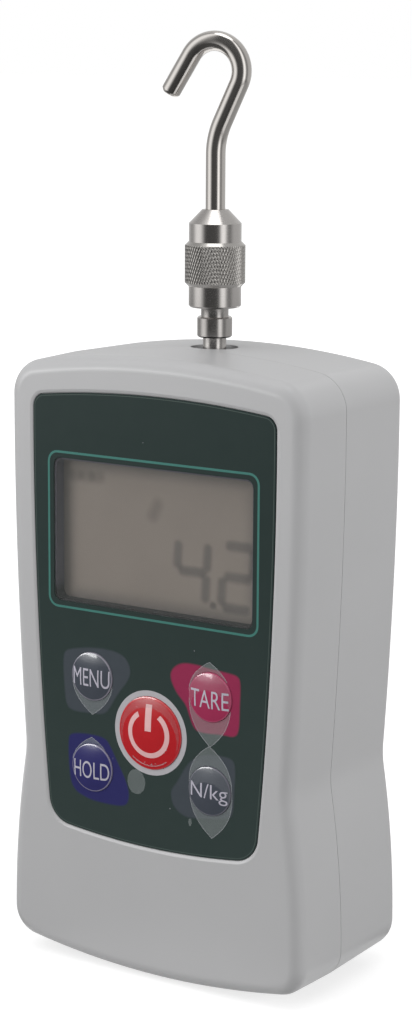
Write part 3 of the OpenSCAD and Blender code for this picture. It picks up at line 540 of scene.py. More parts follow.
def settle(made):
    """Turns an object with modifiers into a plain mesh."""
    mesh = plain_mesh(made)
    made.modifiers.clear()
    made.data = mesh
    return made


def carve(made, *shapes):
    """Cuts shapes out of an object, one after the other."""
    for shape in shapes:
        cutter = place_object("cutter", shape)
        change = made.modifiers.new("carve", "BOOLEAN")
        change.operation, change.solver, change.object = "DIFFERENCE", "EXACT", cutter
        settle(made)
        bpy.data.objects.remove(cutter)
    return made


def dress(made, finish, body, slot, *stands_for, sharp=SHARP):
    """Smooth shading up to an angle, a finish, and the body that carries the piece."""
    made.data.materials.clear()
    made.data.materials.append(finish.material)
    if not made.data.has_custom_normals:
        made.data.shade_smooth()
        made.data.set_sharp_from_angle(angle=math.radians(sharp))
    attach(made, body)
    if stands_for:
        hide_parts(*stands_for)
    return made


def add(name, shape, *dressing):
    return dress(place_object(name, shape), *dressing)


def mark_points(made, name, level):
    """Gives each point of an object a mark that is worked out from its place in millimetres."""
    mark = made.data.attributes.new(name, "FLOAT", "POINT")
    for i, v in enumerate(made.data.vertices):
        mark.data[i].value = level(v.co / MM)


def face_front(shape):
    """Turns the faces of a flat shape towards the front."""
    for face in shape.faces:
        face.normal_update()
        if face.normal.y > 0:
            face.normal_flip()
    return shape


def even_normals(made):
    """Gives each corner the mean normal of the faces that meet there smoothly, with large faces leading."""
    mesh = made.data
    limit = math.cos(math.radians(SHARP))
    meeting = [[] for _ in mesh.vertices]
    for face in mesh.polygons:
        for vertex in face.vertices:
            meeting[vertex].append((face.normal.copy(), face.area / MM ** 2))

    def corner_normal(face, vertex):
        smooth = [n * area for n, area in meeting[vertex] if n.dot(face.normal) > limit]
        return sum(smooth, Vector((0, 0, 0))).normalized()
    normals = [corner_normal(face, vertex) for face in mesh.polygons for vertex in face.vertices]
    mesh.shade_smooth()
    mesh.normals_split_custom_set(normals)
    return made


# Case

def along_y(x, z):
    return lambda a, b, h: (x + a, h, z + b)


def along_z(y):
    return lambda a, b, h: (a, y + b, h)


def along_x(y, z):
    return lambda a, b, h: (h, y + a, z + b)


def bore(put, r, ends, chamfer=0.0, count=64):
    """A cutter for a round hole. With a chamfer, the mouth at the first end is widened."""
    mouth, far = ends
    step = 1 if far > mouth else -1
    profile = [(0, mouth - step), (r + chamfer + 1 if chamfer else r, mouth - step)]
    if chamfer:
        profile += [(r, mouth + step * chamfer)]
    return spun(profile + [(r, far), (0, far)], count, put)


GROOVE, EDGE_STEPS, END_RUN, INNER_EDGE, TONGUE_INSET = 0.05, 12, 0.4, 1.2, 1.3
LIP_RUN = 0.12
LIP = [(0.0, 0.11), (0.04, 0.03), (LIP_RUN, 0.0)]
RECESS_EDGE = [(-0.1, -1.05), (0.02, -0.68), (0.11, -0.36), (0.2, -0.13), (0.3, -0.03)]


def drafted(y0, y1, inset0, inset1):
    """Planes along a drafted wall, two of them close to its ends, so that cuts leave its shading flat."""
    end = END_RUN / abs(y1 - y0)
    return [(y0 + (y1 - y0) * s, inset0 + (inset1 - inset0) * s) for s in (end, 0.25, 0.5, 0.75, 1 - end)]


def rounding(y, r):
    """Planes of the rounding between a face of the case and its wall, from the face on."""
    way = 1 if y < 0 else -1
    turns = [math.radians(90 * i / EDGE_STEPS) for i in range(EDGE_STEPS + 1)]
    planes = [(y + way * r * (1 - math.cos(a)), DRAFT + r * (1 - math.sin(a))) for a in turns]
    return [(y, DRAFT + r + 0.3)] + planes


def front_openings(gap, corner_r, y0, y1):
    """A cutter for the window and the keys."""
    window = round_rect(0, WINDOW_Z, WINDOW_W + 2 * gap, WINDOW_H + 2 * gap, corner_r)
    keys = [circle(x, z, d / 2 + RUN_FIT) for x, z, d, _ in KEYS.values()]
    return joined(*[prism(points, y0, y1) for points in [window] + keys])


def bar_along_x(y, z, w, h, stations, steps=6):
    """A bar with rounded corners. Stations are a place along X, a growth on each side and a corner radius."""
    return sew([[(x, p.x, p.y) for p in round_rect(y, z, w + 2 * grow, h + 2 * grow, r, steps)]
                for x, grow, r in stations])


def make_front_shell():
    lip = SPLIT_Y - GROOVE
    skin = rounding(FRONT_Y, FRONT_EDGE_R) + drafted(FRONT_Y + FRONT_EDGE_R, lip - LIP_RUN, DRAFT, 0.0)
    skin += [(lip - run, inset) for run, inset in LIP[::-1]]
    hollow = loft(CASE_ARCS, [(FACE_Y, DRAFT + WALL + INNER_EDGE), (FACE_Y + INNER_EDGE, DRAFT + WALL),
                              (SPLIT_Y + 1, WALL)])
    recess = loft(PANEL_ARCS, [(FRONT_Y + y, inset) for y, inset in RECESS_EDGE] + [(PANEL_BACK_Y, 0.0)])
    shell = carve(place_object("front_shell", loft(CASE_ARCS, skin)), hollow, recess,
                  front_openings(WINDOW_SEAT, WINDOW_R, FRONT_Y + 0.3, FACE_Y + 1))
    dress(even_normals(shell), case_finish, "case", "case_grey", "front_case")


def make_rear_shell():
    skin = [(SPLIT_Y + run, inset) for run, inset in LIP]
    skin += drafted(SPLIT_Y + LIP_RUN, BACK_Y - REAR_EDGE_R, 0.0, DRAFT) + rounding(BACK_Y, REAR_EDGE_R)[::-1]
    hollow = loft(CASE_ARCS, [(SPLIT_Y - 1, WALL), (REAR_WALL_Y - INNER_EDGE, DRAFT + WALL),
                              (REAR_WALL_Y, DRAFT + WALL + INNER_EDGE)])
    wall_holes = [bore(along_y(x, z), SCREW_HOLE_R, (BACK_Y, BACK_Y - SCREW_HOLE_DEPTH), 0.25)
                  for x, z in SCREWS_AT]
    wall_holes += [bore(along_y(x, z), POST_HOLE_R, (BACK_Y, REAR_WALL_Y - 1), 0.2) for x, z in MOUNTS_AT]
    shaft_hole = bore(along_z(SHAFT_Y), SHAFT_HOLE_D / 2, (CASE_H + 0.05, CASE_H - 8), 0.3)
    jack_hole = bore(along_x(SOCKET_Y, JACK_Z), JACK_HOLE_R, (JACK_WALL_X, SOCKET_X + 0.8), 0.35)
    port_hole = bar_along_x(SOCKET_Y, PORT_Z, PORT_HOLE_W, PORT_HOLE_H, [
        (PORT_WALL_X - 1, 1.35, 2.35), (PORT_WALL_X + 0.35, 0.0, 1.0), (SOCKET_X + 0.8, 0.0, 1.0)])
    shell = carve(place_object("rear_shell", loft(CASE_ARCS, skin)), hollow, joined(*wall_holes), shaft_hole,
                  joined(jack_hole, port_hole))
    dress(even_normals(shell), case_finish, "case", "case_grey", "rear_case")
    foot, top = SPLIT_Y + 0.5, SPLIT_Y - 1.6
    tongue = loft(CASE_ARCS, [(foot, TONGUE_INSET), (top, TONGUE_INSET), (top, WALL), (foot, WALL)], "sewn")
    add("rear_shell_tongue", tongue, case_finish, "case", "case_grey")


def make_panel():
    edge = [(PANEL_Y, LAY_FIT + 0.07), (PANEL_Y + 0.03, LAY_FIT + 0.02), (PANEL_Y + 0.09, LAY_FIT),
            (PANEL_BACK_Y, LAY_FIT)]
    sheet = carve(place_object("panel_sheet", loft(PANEL_ARCS, edge)),
                  front_openings(LAY_FIT, WINDOW_R + LAY_FIT, PANEL_Y - 1, PANEL_BACK_Y + 1))
    dress(even_normals(sheet), sheet_finish, "case", "panel_green", "panel_overlay")


make_front_shell()
make_rear_shell()
make_panel()


# Keys

def dome_height(key, r):
    """Height of a key's face in front of the case face, at a distance from the key's middle."""
    _, _, d, crown = KEYS[key]
    radius = bow_r(crown - KEY_EDGE, d / 2)
    return crown - radius + math.sqrt(max(radius * radius - r * r, 0.0))


DOME_STEPS, KEY_STEPS = 14, 72


def make_key(key, finish, slot, line=0.45):
    """A key cap with its rim and stem. Its edge carries a mark as strong as its pale line, the painted rim
    highlight.
    """
    x, z, d, _ = KEYS[key]
    r, back = d / 2, RIM_DEPTH + KEY_RIM_T
    places = [r * i / DOME_STEPS for i in range(DOME_STEPS)] + [r - 0.32, r - 0.16]
    profile = [(a, -dome_height(key, a)) for a in places]
    profile += [(r - 0.05, -KEY_EDGE), (r, -KEY_EDGE + 0.08), (r, RIM_DEPTH), (r + KEY_RIM, RIM_DEPTH),
                (r + KEY_RIM, back), (STEM_R, back), (STEM_R, PLUNGER_DEPTH), (0, PLUNGER_DEPTH)]
    skin = spun([(a, FRONT_Y + h) for a, h in profile], KEY_STEPS, along_y(x, z))
    made = place_object(key + "_key_cap", skin)
    mark_points(made, "edge", lambda p: line if math.hypot(p.x - x, p.z - z) > r - 0.2 else 0.0)
    dress(made, finish, key + "_button", slot, key + "_key")


make_key("power", red_key, "key_red")
make_key("menu", slate_key, "key_slate")
make_key("tare", magenta_key, "key_magenta", 0.25)
make_key("hold", indigo_key, "key_indigo")
make_key("unit", slate_key, "key_slate", 0.2)


# Prints on the panel

def smooth_loop(points, rounds=3):
    """A closed loop with its corners cut round."""
    for _ in range(rounds):
        points = [q for a, b in zip(points, points[1:] + points[:1])
                  for q in (a * 0.75 + b * 0.25, a * 0.25 + b * 0.75)]
    return points


def swelled(points, by):
    """A loop moved outwards, or inwards where by is negative."""
    area = sum(a.x * b.y - b.x * a.y for a, b in zip(points, points[1:] + points[:1]))
    side = 1 if area > 0 else -1
    moved = []
    for before, here, after in zip(points[-1:] + points[:-1], points, points[1:] + points[:1]):
        way = (after - before).normalized()
        moved.append(here + Vector((way.y, -way.x)) * (side * by))
    return moved


def flat_print(loops, y=0.0, fade=0.0):
    """A flat shape that faces the front, from an outer loop and holes. Its outer edge fades over a width."""
    shape = bmesh.new()
    mark = shape.verts.layers.float.new("print")
    inner = [swelled(loops[0], -fade / 2)] + loops[1:] if fade else loops
    rows = [row(shape, at_depth(points, y)) for points in inner]
    flat = [v for ring in rows for v in ring]
    for v in flat:
        v[mark] = 1.0
    for face in tessellate_polygon([[Vector((p.x, p.y, 0)) for p in points] for points in inner]):
        shape.faces.new([flat[i] for i in face])
    if fade:
        bridge(shape, rows[0], row(shape, at_depth(swelled(loops[0], fade / 2), y)))
    return face_front(shape)


def flat_prints(loops, y=0.0):
    """Several flat shapes side by side."""
    return joined(*[flat_print([points], y) for points in loops])


def loop(*pairs):
    return [Vector(p) for p in pairs]


def put_print(name, shape, finish, slot="panel_green", body="case"):
    """Ink or film as a thin closed layer that sinks a little into what it lies on."""
    grown = bmesh.ops.extrude_face_region(shape, geom=shape.faces[:])["geom"]
    bmesh.ops.translate(shape, verts=[v for v in grown if isinstance(v, bmesh.types.BMVert)],
                        vec=(0, PRINT_T * MM, 0))
    bmesh.ops.recalc_face_normals(shape, faces=shape.faces)
    add(name, shape, finish, body, slot)


PRINT_T, PRINT_GAP, PRINT_FADE = 0.06, 0.06, 0.5
POCKET_GAP, LINE_GAP, LINE_HALF = 0.1, 0.12, 0.06
PRINT_Y = PANEL_Y - 0.015
LEAF_Y = PANEL_Y - 0.03
LEAF_LINE_Y = PANEL_Y - 0.04

PATCHES = {
    "menu": (slate_print, "key_slate", loop(
        (-23.0, 67.3), (-22.7, 70.0), (-20.6, 70.9), (-15, 71.9), (-9.6, 71.9), (-6.6, 71.0), (-5.1, 68.5),
        (-5.7, 66.0), (-8.7, 62.4), (-10.7, 59.0), (-12.3, 57.4), (-15.7, 57.2), (-20.7, 57.0), (-22.3, 58.2),
        (-22.7, 62.5))),
    "tare": (magenta_print, "key_magenta", loop(
        (4.9, 68.3), (5.6, 70.4), (8.1, 71.9), (12.0, 71.9), (14.8, 71.5), (18.7, 71.3), (22.0, 71.0),
        (22.6, 69.4), (22.4, 64.8), (22.3, 58.9), (20.9, 57.7), (18.6, 57.9), (13.0, 57.4), (11.0, 58.0),
        (9.7, 61.2), (9.0, 63.0), (6.5, 65.2))),
    "hold": (indigo_print, "key_indigo", loop(
        (-21.7, 50.2), (-21.2, 51.9), (-16.9, 52.5), (-11.9, 52.4), (-10.4, 50.5), (-8.8, 47.7), (-6.0, 43.0),
        (-5.5, 39.9), (-6.6, 37.8), (-12.0, 37.6), (-16.6, 37.9), (-20.9, 39.6), (-21.6, 45.1))),
    "unit": (slate_print, "key_slate", loop(
        (7.1, 46.0), (5.4, 43.8), (5.3, 42.4), (5.8, 40.4), (7.7, 38.8), (10.0, 38.3), (13.6, 38.9),
        (19.0, 39.7), (21.0, 40.6), (21.2, 46.1), (21.5, 50.6), (21.0, 52.9), (18.2, 53.3), (13.5, 52.9),
        (9.7, 50.6))),
}
for key, (finish, slot, points) in PATCHES.items():
    x, z, d, _ = KEYS[key]
    edges = [smooth_loop(points), circle(x, z, d / 2 + PRINT_GAP)]
    put_print(key + "_patch", flat_print(edges, PRINT_Y, PRINT_FADE), finish, slot)


def leaf(x, z, half, top, bottom, lean=0.0, full=2.4, count=28):
    """The outline of a film pocket: half its width, and its two tips."""
    steps = [(top, -1, 1 - i / count) for i in range(count)]
    steps += [(bottom, 1, i / count) for i in range(count + 1)]

    def edge(side, part):
        return [Vector((x + side * half * (1 - s ** full) + lean * s * way, z + (tip - z) * s))
                for tip, way, s in part]
    return edge(1, steps) + edge(-1, steps[-2:0:-1])


LEAVES = {"menu": leaf(-15.2, 65.0, 5.25, 70.9, 57.0), "tare": leaf(15.0, 65.3, 5.2, 72.9, 54.7, 0.15, 2.6),
          "hold": leaf(-15.3, 45.2, 5.25, 51.9, 39.8, 0.1),
          "unit": leaf(15.3, 45.5, 5.35, 54.8, 34.9, 0.4, 2.7)}
for key, points in LEAVES.items():
    x, z, d, _ = KEYS[key]
    shape = bmesh.new()
    rows = [row(shape, at_depth(swelled(points, by), LEAF_LINE_Y)) for by in (-LINE_HALF, LINE_HALF)]
    for i in range(len(points)):
        j = (i + 1) % len(points)
        if min((points[k] - Vector((x, z))).length for k in (i, j)) > d / 2 + LINE_GAP:
            shape.faces.new((rows[0][i], rows[0][j], rows[1][j], rows[1][i]))
    bmesh.ops.delete(shape, geom=[v for v in shape.verts if not v.link_faces], context="VERTS")
    put_print(key + "_pocket_line", face_front(shape), pocket_line)


def clipped_leaf(points, x, z, r):
    """The parts of a film pocket outside its key, above and below."""
    parts, middle = [], Vector((x, z))
    for side in (1, -1):
        flip = Matrix.Diagonal((1, side))
        arc = [p for p in points if (p - middle).length > r and (p.y - z) * side > 0]
        if len(arc) < 5:
            continue
        arc.sort(key=lambda p: heading(flip @ (p - middle)))
        first, last = (heading(flip @ (p - middle)) for p in (arc[0], arc[-1]))
        inner = [middle + r * (flip @ unit(last + (first - last) * i / 24)) for i in range(25)]
        parts.append(arc + inner)
    return parts


def oval(x, z, half_w, half_h, step):
    return [Vector((x + half_w * unit(a).x, z + half_h * unit(a).y)) for a in range(0, 360, step)]


for key, points in LEAVES.items():
    x, z, d, _ = KEYS[key]
    parts = clipped_leaf(points, x, z, d / 2 + POCKET_GAP)
    put_print(key + "_pocket", flat_prints(parts, LEAF_Y), pocket_film)

BUBBLES = [oval(-3.68, 43.95, 2.3, 2.75, 9), oval(10.16, 37.44, 0.42, 0.85, 20)]
put_print("film_bubbles", flat_prints(BUBBLES, LEAF_Y), pocket_film)
SPECKS = [circle(x, z, r, 10) for x, z, r in ((5.03, 39.5, 0.14), (11.05, 74.84, 0.13), (-9.87, 48.01, 0.1),
                                              (-2.0, 117.5, 0.1))]
put_print("film_specks", flat_prints(SPECKS, LEAF_Y), pocket_line)


def put_line(name, outer, inner, finish):
    put_print(name, flat_print([outer, inner], PRINT_Y), finish)


x, z, d, _ = KEYS["power"]
put_line("display_line", round_rect(0, WINDOW_Z, 53.6, 34.2, 2.5), round_rect(0, WINDOW_Z, 52.6, 33.2, 2.0),
         teal_line)
put_line("power_ring", circle(x, z, 9.25, 96), circle(x, z, d / 2 + PRINT_GAP, 96), pale_ring)
put_line("sheet_edge_line", outline(PANEL_ARCS, 0.42), outline(PANEL_ARCS, 0.56), edge_line)


# Words and signs on the keys

def reach(shape, axis):
    """The lowest and the highest place of a shape along an axis."""
    places = [v.co[axis] for v in shape.verts]
    return min(places), max(places)


def cut_fine(shape, step=0.5 * MM):
    """Cuts a flat shape into small faces, so that it can follow a dome."""
    spans = {axis: reach(shape, axis) for axis in (0, 2)}
    for axis, (low, high) in spans.items():
        way = Matrix.Identity(3).col[axis]
        for n in range(1, int((high - low) / step) + 1):
            bmesh.ops.bisect_plane(shape, geom=shape.verts[:] + shape.edges[:] + shape.faces[:],
                                   plane_co=way * (low + n * step), plane_no=way)
    bmesh.ops.dissolve_degenerate(shape, dist=1e-6, edges=shape.edges[:])


def on_dome(name, key, shape, finish, lift=0.02):
    """Lays a flat shape, made round the key's middle, on the key's dome."""
    x, z, _, _ = KEYS[key]
    cut_fine(shape)
    mark = shape.verts.layers.float.get("print") or shape.verts.layers.float.new("print")
    for v in shape.verts:
        out = math.hypot(v.co.x, v.co.z) / MM
        v.co = Vector((x + v.co.x / MM, FRONT_Y - dome_height(key, out) - lift, z + v.co.z / MM)) * MM
        v[mark] = 1.0
    put_print(name, face_front(shape), finish, "plunger_white", key + "_button")


def word_shape(word, width, height, drop):
    """A word as a flat shape near the origin, stretched to a width and a height."""
    text = bpy.data.curves.new("word", "FONT")
    text.body, text.offset, text.resolution_u = word, -0.004, 6
    holder = new_object("word", text)
    shape = bmesh.new()
    shape.from_mesh(plain_mesh(holder))
    bpy.data.objects.remove(holder)
    bmesh.ops.remove_doubles(shape, verts=shape.verts, dist=1e-5)
    (left, right), (foot, top) = reach(shape, 0), reach(shape, 1)
    for v in shape.verts:
        u = (v.co.x - (left + right) / 2) / (right - left)
        w = (v.co.y - (foot + top) / 2) / (top - foot)
        v.co = Vector((u * width, 0, w * height + drop)) * MM
    return shape


def arc_band(r, width, start, stop, step):
    """A loop round a bent band, from one angle to another."""
    outer = [unit(a) * r for a in range(start, stop + 1, step)]
    return outer + [unit(a) * (r - width) for a in range(stop, start - 1, -step)]


WORDS = {"menu": ("MENU", 9.5, 3.9, -0.2), "tare": ("TARE", 9.4, 3.8, -0.35),
         "hold": ("HOLD", 9.3, 3.8, -0.45), "unit": ("N/kg", 9.2, 4.2, -0.4)}
for key, word in WORDS.items():
    on_dome(key + "_word", key, word_shape(*word), letter_ink)

# The standby sign is an open ring with a bar in its gap
sign = [arc_band(5.3, 1.1, 122, 418, 6), loop((-0.8, 0.6), (0.8, 0.6), (0.8, 6.4), (-0.8, 6.4))]
on_dome("power_sign", "power", flat_prints(sign), symbol_ink)


# Painted highlights and glints on the domes, laid on as pale film

def crescent(r, drop, inner_r, count=30):
    """The part of a circle above a second circle that lies lower, as one loop."""
    low = Vector((0, -drop))
    right = crossing(Vector((0, 0)), r, low, inner_r, Vector((r, 0)))
    first, last = heading(right), heading(right - low)
    outer = [r * unit(first + (180 - 2 * first) * i / count) for i in range(count + 1)]
    inner = [low + inner_r * unit(180 - last + (2 * last - 180) * i / count) for i in range(1, count)]
    return outer + inner


HIGHLIGHT_LIFT = 0.03
# Painted highlights: pale crescents on the upper parts of the unit and tare domes.
for key, drop in (("unit", 3.0), ("tare", 3.4)):
    highlight_edge = crescent(KEY_D / 2 - 0.2, drop, 5.0)
    on_dome(key + "_dome_film", key, flat_print([highlight_edge]), dome_film, HIGHLIGHT_LIFT)
# Painted glints: a small pale arc and specks on the power dome, as light caught by its film.
power_glints = [arc_band(7.2, 0.22, 232, 308, 4)]
power_glints += [circle(x, z, r, 10) for x, z, r in ((4.5, -2.9, 0.16), (4.1, -3.6, 0.1), (-1.2, -6.5, 0.14),
                                                   (0.6, -6.7, 0.2), (1.6, -6.4, 0.12), (-3.2, 5.4, 0.12))]
# Painted highlight: a pale crescent on the upper part of the power dome.
on_dome("power_dome_haze", "power", flat_print([crescent(7.5, 1.3, 7.0)]), dome_film, HIGHLIGHT_LIFT)
on_dome("power_dome_film", "power", flat_prints(power_glints), pocket_line, HIGHLIGHT_LIFT)


# Display

SEGMENTS = {"a": (0, 2, 1, 2), "b": (1, 1, 1, 2), "c": (1, 0, 1, 1), "d": (0, 0, 1, 0), "e": (0, 0, 0, 1),
            "f": (0, 1, 0, 2), "g": (0, 1, 1, 1)}
DIGIT_W, DIGIT_H, DIGIT_Z, DIGIT_Y, DIGIT_SLANT = 7.4, 13.2, 84.2, LCD_Y - 0.02, 0.06
BAR_GAP, BAR_CORE, BAR_RIM, LAYER = 1.4, 0.45, 1.5, 0.004


def soft_bar(start, end, core, rim, y):
    """A bar with round ends that fades from its core out to its rim."""
    way = heading(end - start)
    shape = bmesh.new()
    mark = shape.verts.layers.float.new("print")
    rows = []
    for r, level in ((core, 1.0), ((core + rim) / 2, 0.55), (rim, 0.0)):
        ring = [start + r * unit(way + 90 + 15 * i) for i in range(13)]
        ring += [end + r * unit(way - 90 + 15 * i) for i in range(13)]
        rows.append(row(shape, at_depth(ring, y)))
        for v in rows[-1]:
            v[mark] = level
    shape.faces.new(rows[0])
    for low, high in zip(rows, rows[1:]):
        bridge(shape, low, high)
    return face_front(shape)


def digit_bars(x, parts):
    """The bars of a digit whose lower left corner is at x."""
    def corner(i, k):
        rise = k * DIGIT_H / 2
        return Vector((x + i * DIGIT_W + rise * DIGIT_SLANT, DIGIT_Z + rise))
    made = []
    for n, part in enumerate(parts):
        i0, k0, i1, k1 = SEGMENTS[part]
        start, end = corner(i0, k0), corner(i1, k1)
        gap = (end - start).normalized() * BAR_GAP
        made.append(soft_bar(start + gap, end - gap, BAR_CORE, BAR_RIM, DIGIT_Y - LAYER * n))
    return made


bars = digit_bars(4.2, "bcfg") + digit_bars(15.6, "abdeg")
bars.append(soft_bar(Vector((13.6, 84.3)), Vector((13.8, 84.3)), 0.4, 1.0, DIGIT_Y - 0.03))
put_print("display_digits", joined(*bars), display_digit, "display")
ghosts = [soft_bar(Vector((x, 108.4)), Vector((x + 1.2, 108.5)), 0.5, 1.9, DIGIT_Y - LAYER * i)
          for i, x in enumerate((-22.4, -19.5, -16.6))]
ghosts += [soft_bar(Vector((-1.6, 101.6)), Vector((-0.4, 104.0)), 0.2, 2.0, DIGIT_Y)]
put_print("display_marks", joined(*ghosts), faint_segment, "display")


# Shaft, adapter and hook

SHAFT_FOOT, NECK_Z, COLLAR_Z, COLLAR_TOP, SHAFT_TOP = 95.5, 132.5, 137.5, 141.9, 151.9
SHAFT_R, NECK_R, COLLAR_R, COLLAR_EDGE, RELIEF_R = 3.0, 2.5, 3.75, 0.3, 2.95
TURN_STEPS = 96


def on_shaft(profile, steps=TURN_STEPS):
    """A skin turned round the shaft's axis."""
    return spun(profile, steps, along_z(SHAFT_Y))


shaft_profile = [
    (0, SHAFT_FOOT), (SHAFT_R, SHAFT_FOOT), (SHAFT_R, NECK_Z - 1), (NECK_R, NECK_Z), (NECK_R, COLLAR_Z),
    (COLLAR_R - COLLAR_EDGE, COLLAR_Z), (COLLAR_R, COLLAR_Z + COLLAR_EDGE),
    (COLLAR_R, COLLAR_TOP - COLLAR_EDGE), (COLLAR_R - COLLAR_EDGE, COLLAR_TOP), (RELIEF_R, COLLAR_TOP),
    (RELIEF_R, ADAPTER_Z - 0.1), (SHAFT_R, ADAPTER_Z + 0.1), (SHAFT_R, SHAFT_TOP), (0, SHAFT_TOP)]
turned_shaft = add("turned_shaft", on_shaft(shaft_profile), turned, "shaft", "steel", "measuring_shaft")

RIDGES, GRIP_STEPS, GRIP_ROWS, BORE_R, WIRE_BORE_R = 60, 600, 109, 3.1, 2.2
LEAN = math.radians(23)
GRIP_DEPTH, GRIP_CREST, GRIP_CROSS = 0.15, 1.8, 0.57
HOOK_TURN, WIRE_STEPS = 10, 40


def new_tree(name, **inputs):
    """A geometry tree with named inputs and a finish: its graph, its inputs' wires and their identifiers."""
    tree = bpy.data.node_groups.new(name, "GeometryNodeTree")
    names = {}
    for label, kind in {"Geometry": "Geometry", **inputs, "Finish": "Material"}.items():
        socket = tree.interface.new_socket(label, in_out="INPUT", socket_type="NodeSocket" + kind)
        names[label] = socket.identifier
    tree.interface.new_socket("Geometry", in_out="OUTPUT", socket_type="NodeSocketGeometry")
    g = Graph(tree)
    entry = g.node("NodeGroupInput").socket.node
    return g, {s.name: Wire(g, s) for s in entry.outputs}, names


def end_tree(g, geometry, finish):
    """Ends a tree with real geometry in a finish."""
    real = g.node("GeometryNodeRealizeInstances", {"Geometry": geometry})
    done = g.node("GeometryNodeSetMaterial", {"Geometry": real, "Material": finish})
    g.node("NodeGroupOutput", {"Geometry": done})


def knurl_tree():
    """A skin with two crossed sets of grooves, sewn to the bored ring that carries it."""
    sizes = ("Radius", "Height", "Foot", "Depth", "Chamfer", "Ridges", "Twist", "Crest", "Cross", "Axis Y")
    g, given, names = new_tree("knurled_grip", **dict.fromkeys(sizes, "Float"))
    grid = g.node("GeometryNodeMeshGrid", {"Size X": 1.0, "Size Y": 1.0, "Vertices X": GRIP_STEPS + 1,
                                           "Vertices Y": GRIP_ROWS}, "Mesh")
    where = g.node("GeometryNodeInputPosition")
    round_share = g.node("ShaderNodeSeparateXYZ", {0: where}, "X")
    up_share = g.node("ShaderNodeSeparateXYZ", {0: where}, "Y") + 0.5
    across, along = round_share * given["Ridges"], up_share * given["Twist"]
    leaning_left, leaning_right = (across + along).saw(), (across - along).saw()
    proud = (leaning_right * given["Crest"]).least(given["Cross"] + leaning_left).least(1.0)
    rise = up_share * given["Height"]
    bevel = (given["Chamfer"] - rise.least(given["Height"] - rise)).most(0.0)
    radius = (given["Radius"] - given["Depth"] * (1.0 - proud)).least(given["Radius"] - bevel)
    angle = round_share * (2 * math.pi)
    spot = g.node("ShaderNodeCombineXYZ", {"X": radius * angle.cosine(), "Z": rise + given["Foot"],
                                           "Y": radius * angle.sine() + given["Axis Y"]})
    tube = g.node("GeometryNodeSetPosition", {"Geometry": grid, "Position": spot})
    both = g.node("GeometryNodeJoinGeometry", {"Geometry": [given["Geometry"], tube]})
    ring = g.node("GeometryNodeMergeByDistance", {"Geometry": both, "Distance": 1e-6})
    end_tree(g, ring, given["Finish"])
    return g.tree, names


def face_out(made):
    """Turns the faces of a closed mesh outwards."""
    shape = bmesh.new()
    shape.from_mesh(made.data)
    bmesh.ops.recalc_face_normals(shape, faces=shape.faces)
    shape.to_mesh(made.data)
    shape.free()
    return made


def apply_tree(made, tree_and_names, values):
    tree, names = tree_and_names
    change = made.modifiers.new(tree.name, "NODES")
    change.node_group = tree
    for name, value in values.items():
        change[names[name]] = value
    return settle(made)


grip_h = UPPER_RING_Z - GRIP_Z
grip_twist = RIDGES * grip_h * math.tan(LEAN) / (2 * math.pi * GRIP_R)
grip_end, sunk = GRIP_R - ADAPTER_CHAMFER, 0.02
lower = [(BORE_R, ADAPTER_Z + 0.3), (BORE_R + 0.3, ADAPTER_Z), (RING_R - 0.4, ADAPTER_Z),
         (RING_R, ADAPTER_Z + 0.4), (RING_R, GRIP_Z + sunk), (BORE_R, GRIP_Z + sunk)]
upper = [(WIRE_BORE_R, UPPER_RING_Z - sunk), (RING_R, UPPER_RING_Z - sunk), (RING_R, CONE_Z),
         (CONE_R, ADAPTER_TOP), (WIRE_BORE_R + 0.05, ADAPTER_TOP), (WIRE_BORE_R, ADAPTER_TOP - 0.1)]
bored = [(grip_end, GRIP_Z), (BORE_R, GRIP_Z), (BORE_R, UPPER_RING_Z), (grip_end, UPPER_RING_Z)]
knurled_grip = place_object("knurled_grip", on_shaft(bored, GRIP_STEPS))
apply_tree(knurled_grip, knurl_tree(), {
    "Radius": GRIP_R * MM, "Height": grip_h * MM, "Foot": GRIP_Z * MM, "Axis Y": SHAFT_Y * MM,
    "Depth": GRIP_DEPTH * MM, "Chamfer": ADAPTER_CHAMFER * MM, "Ridges": float(RIDGES), "Twist": grip_twist,
    "Crest": GRIP_CREST, "Cross": GRIP_CROSS, "Finish": knurl_steel.material})
dress(face_out(knurled_grip), knurl_steel, "hook", "steel", sharp=FINE_SHARP)
rings = joined(*[on_shaft(profile + profile[:1]) for profile in (lower, upper)])
adapter_rings = add("adapter_rings", rings, turned, "hook", "steel", "knurled_adapter")


def hook_stations():
    """Places, headings and radii along the hook's wire, in the plane of the hook."""
    shank_rise, lean_r, lean, lean_run, bend_r = 11.5, 16.0, 25.0, 8.8, 6.2
    sweep, tip_run, wire = 173.0, 9.5, 2.1
    lean_c = Vector((lean_r, shank_rise))
    bend_c = lean_c + (lean_r + bend_r) * unit(180 - lean) + lean_run * unit(90 - lean)
    tip_way = sweep - lean + 90
    tip = bend_c + bend_r * unit(tip_way - 90) + tip_run * unit(tip_way)
    stops = [(Vector((0, z)), 90, wire) for z in (-9.0, 0, shank_rise / 2)]
    stops += [(lean_c + lean_r * unit(180 - a), 90 - a, wire) for a in (lean * i / 12 for i in range(13))]
    stops += [(bend_c + bend_r * unit(a), a + 90, wire) for a in (sweep * i / 60 - lean for i in range(61))]
    ends = ((0.85, 0.0), (0.55, 0.05), (0.1, 0.42), (0.0, 0.52))
    return stops + [(tip - back * unit(tip_way), tip_way, wire - less) for back, less in ends]


def make_hook():
    turn = Matrix.Rotation(math.radians(HOOK_TURN), 3, "Z")
    foot = Vector((0, SHAFT_Y, ADAPTER_TOP))
    rings = []
    for at, way, r in hook_stations():
        out = unit(way - 90)
        spots = [r * unit(360 * i / WIRE_STEPS) for i in range(WIRE_STEPS)]
        rings.append([foot + turn @ Vector((at.x + p.x * out.x, p.y, at.y + p.x * out.y)) for p in spots])
    return add("wire_hook", sew(rings), steel, "hook", "steel", "hook")


wire_hook = make_hook()


# Fasteners

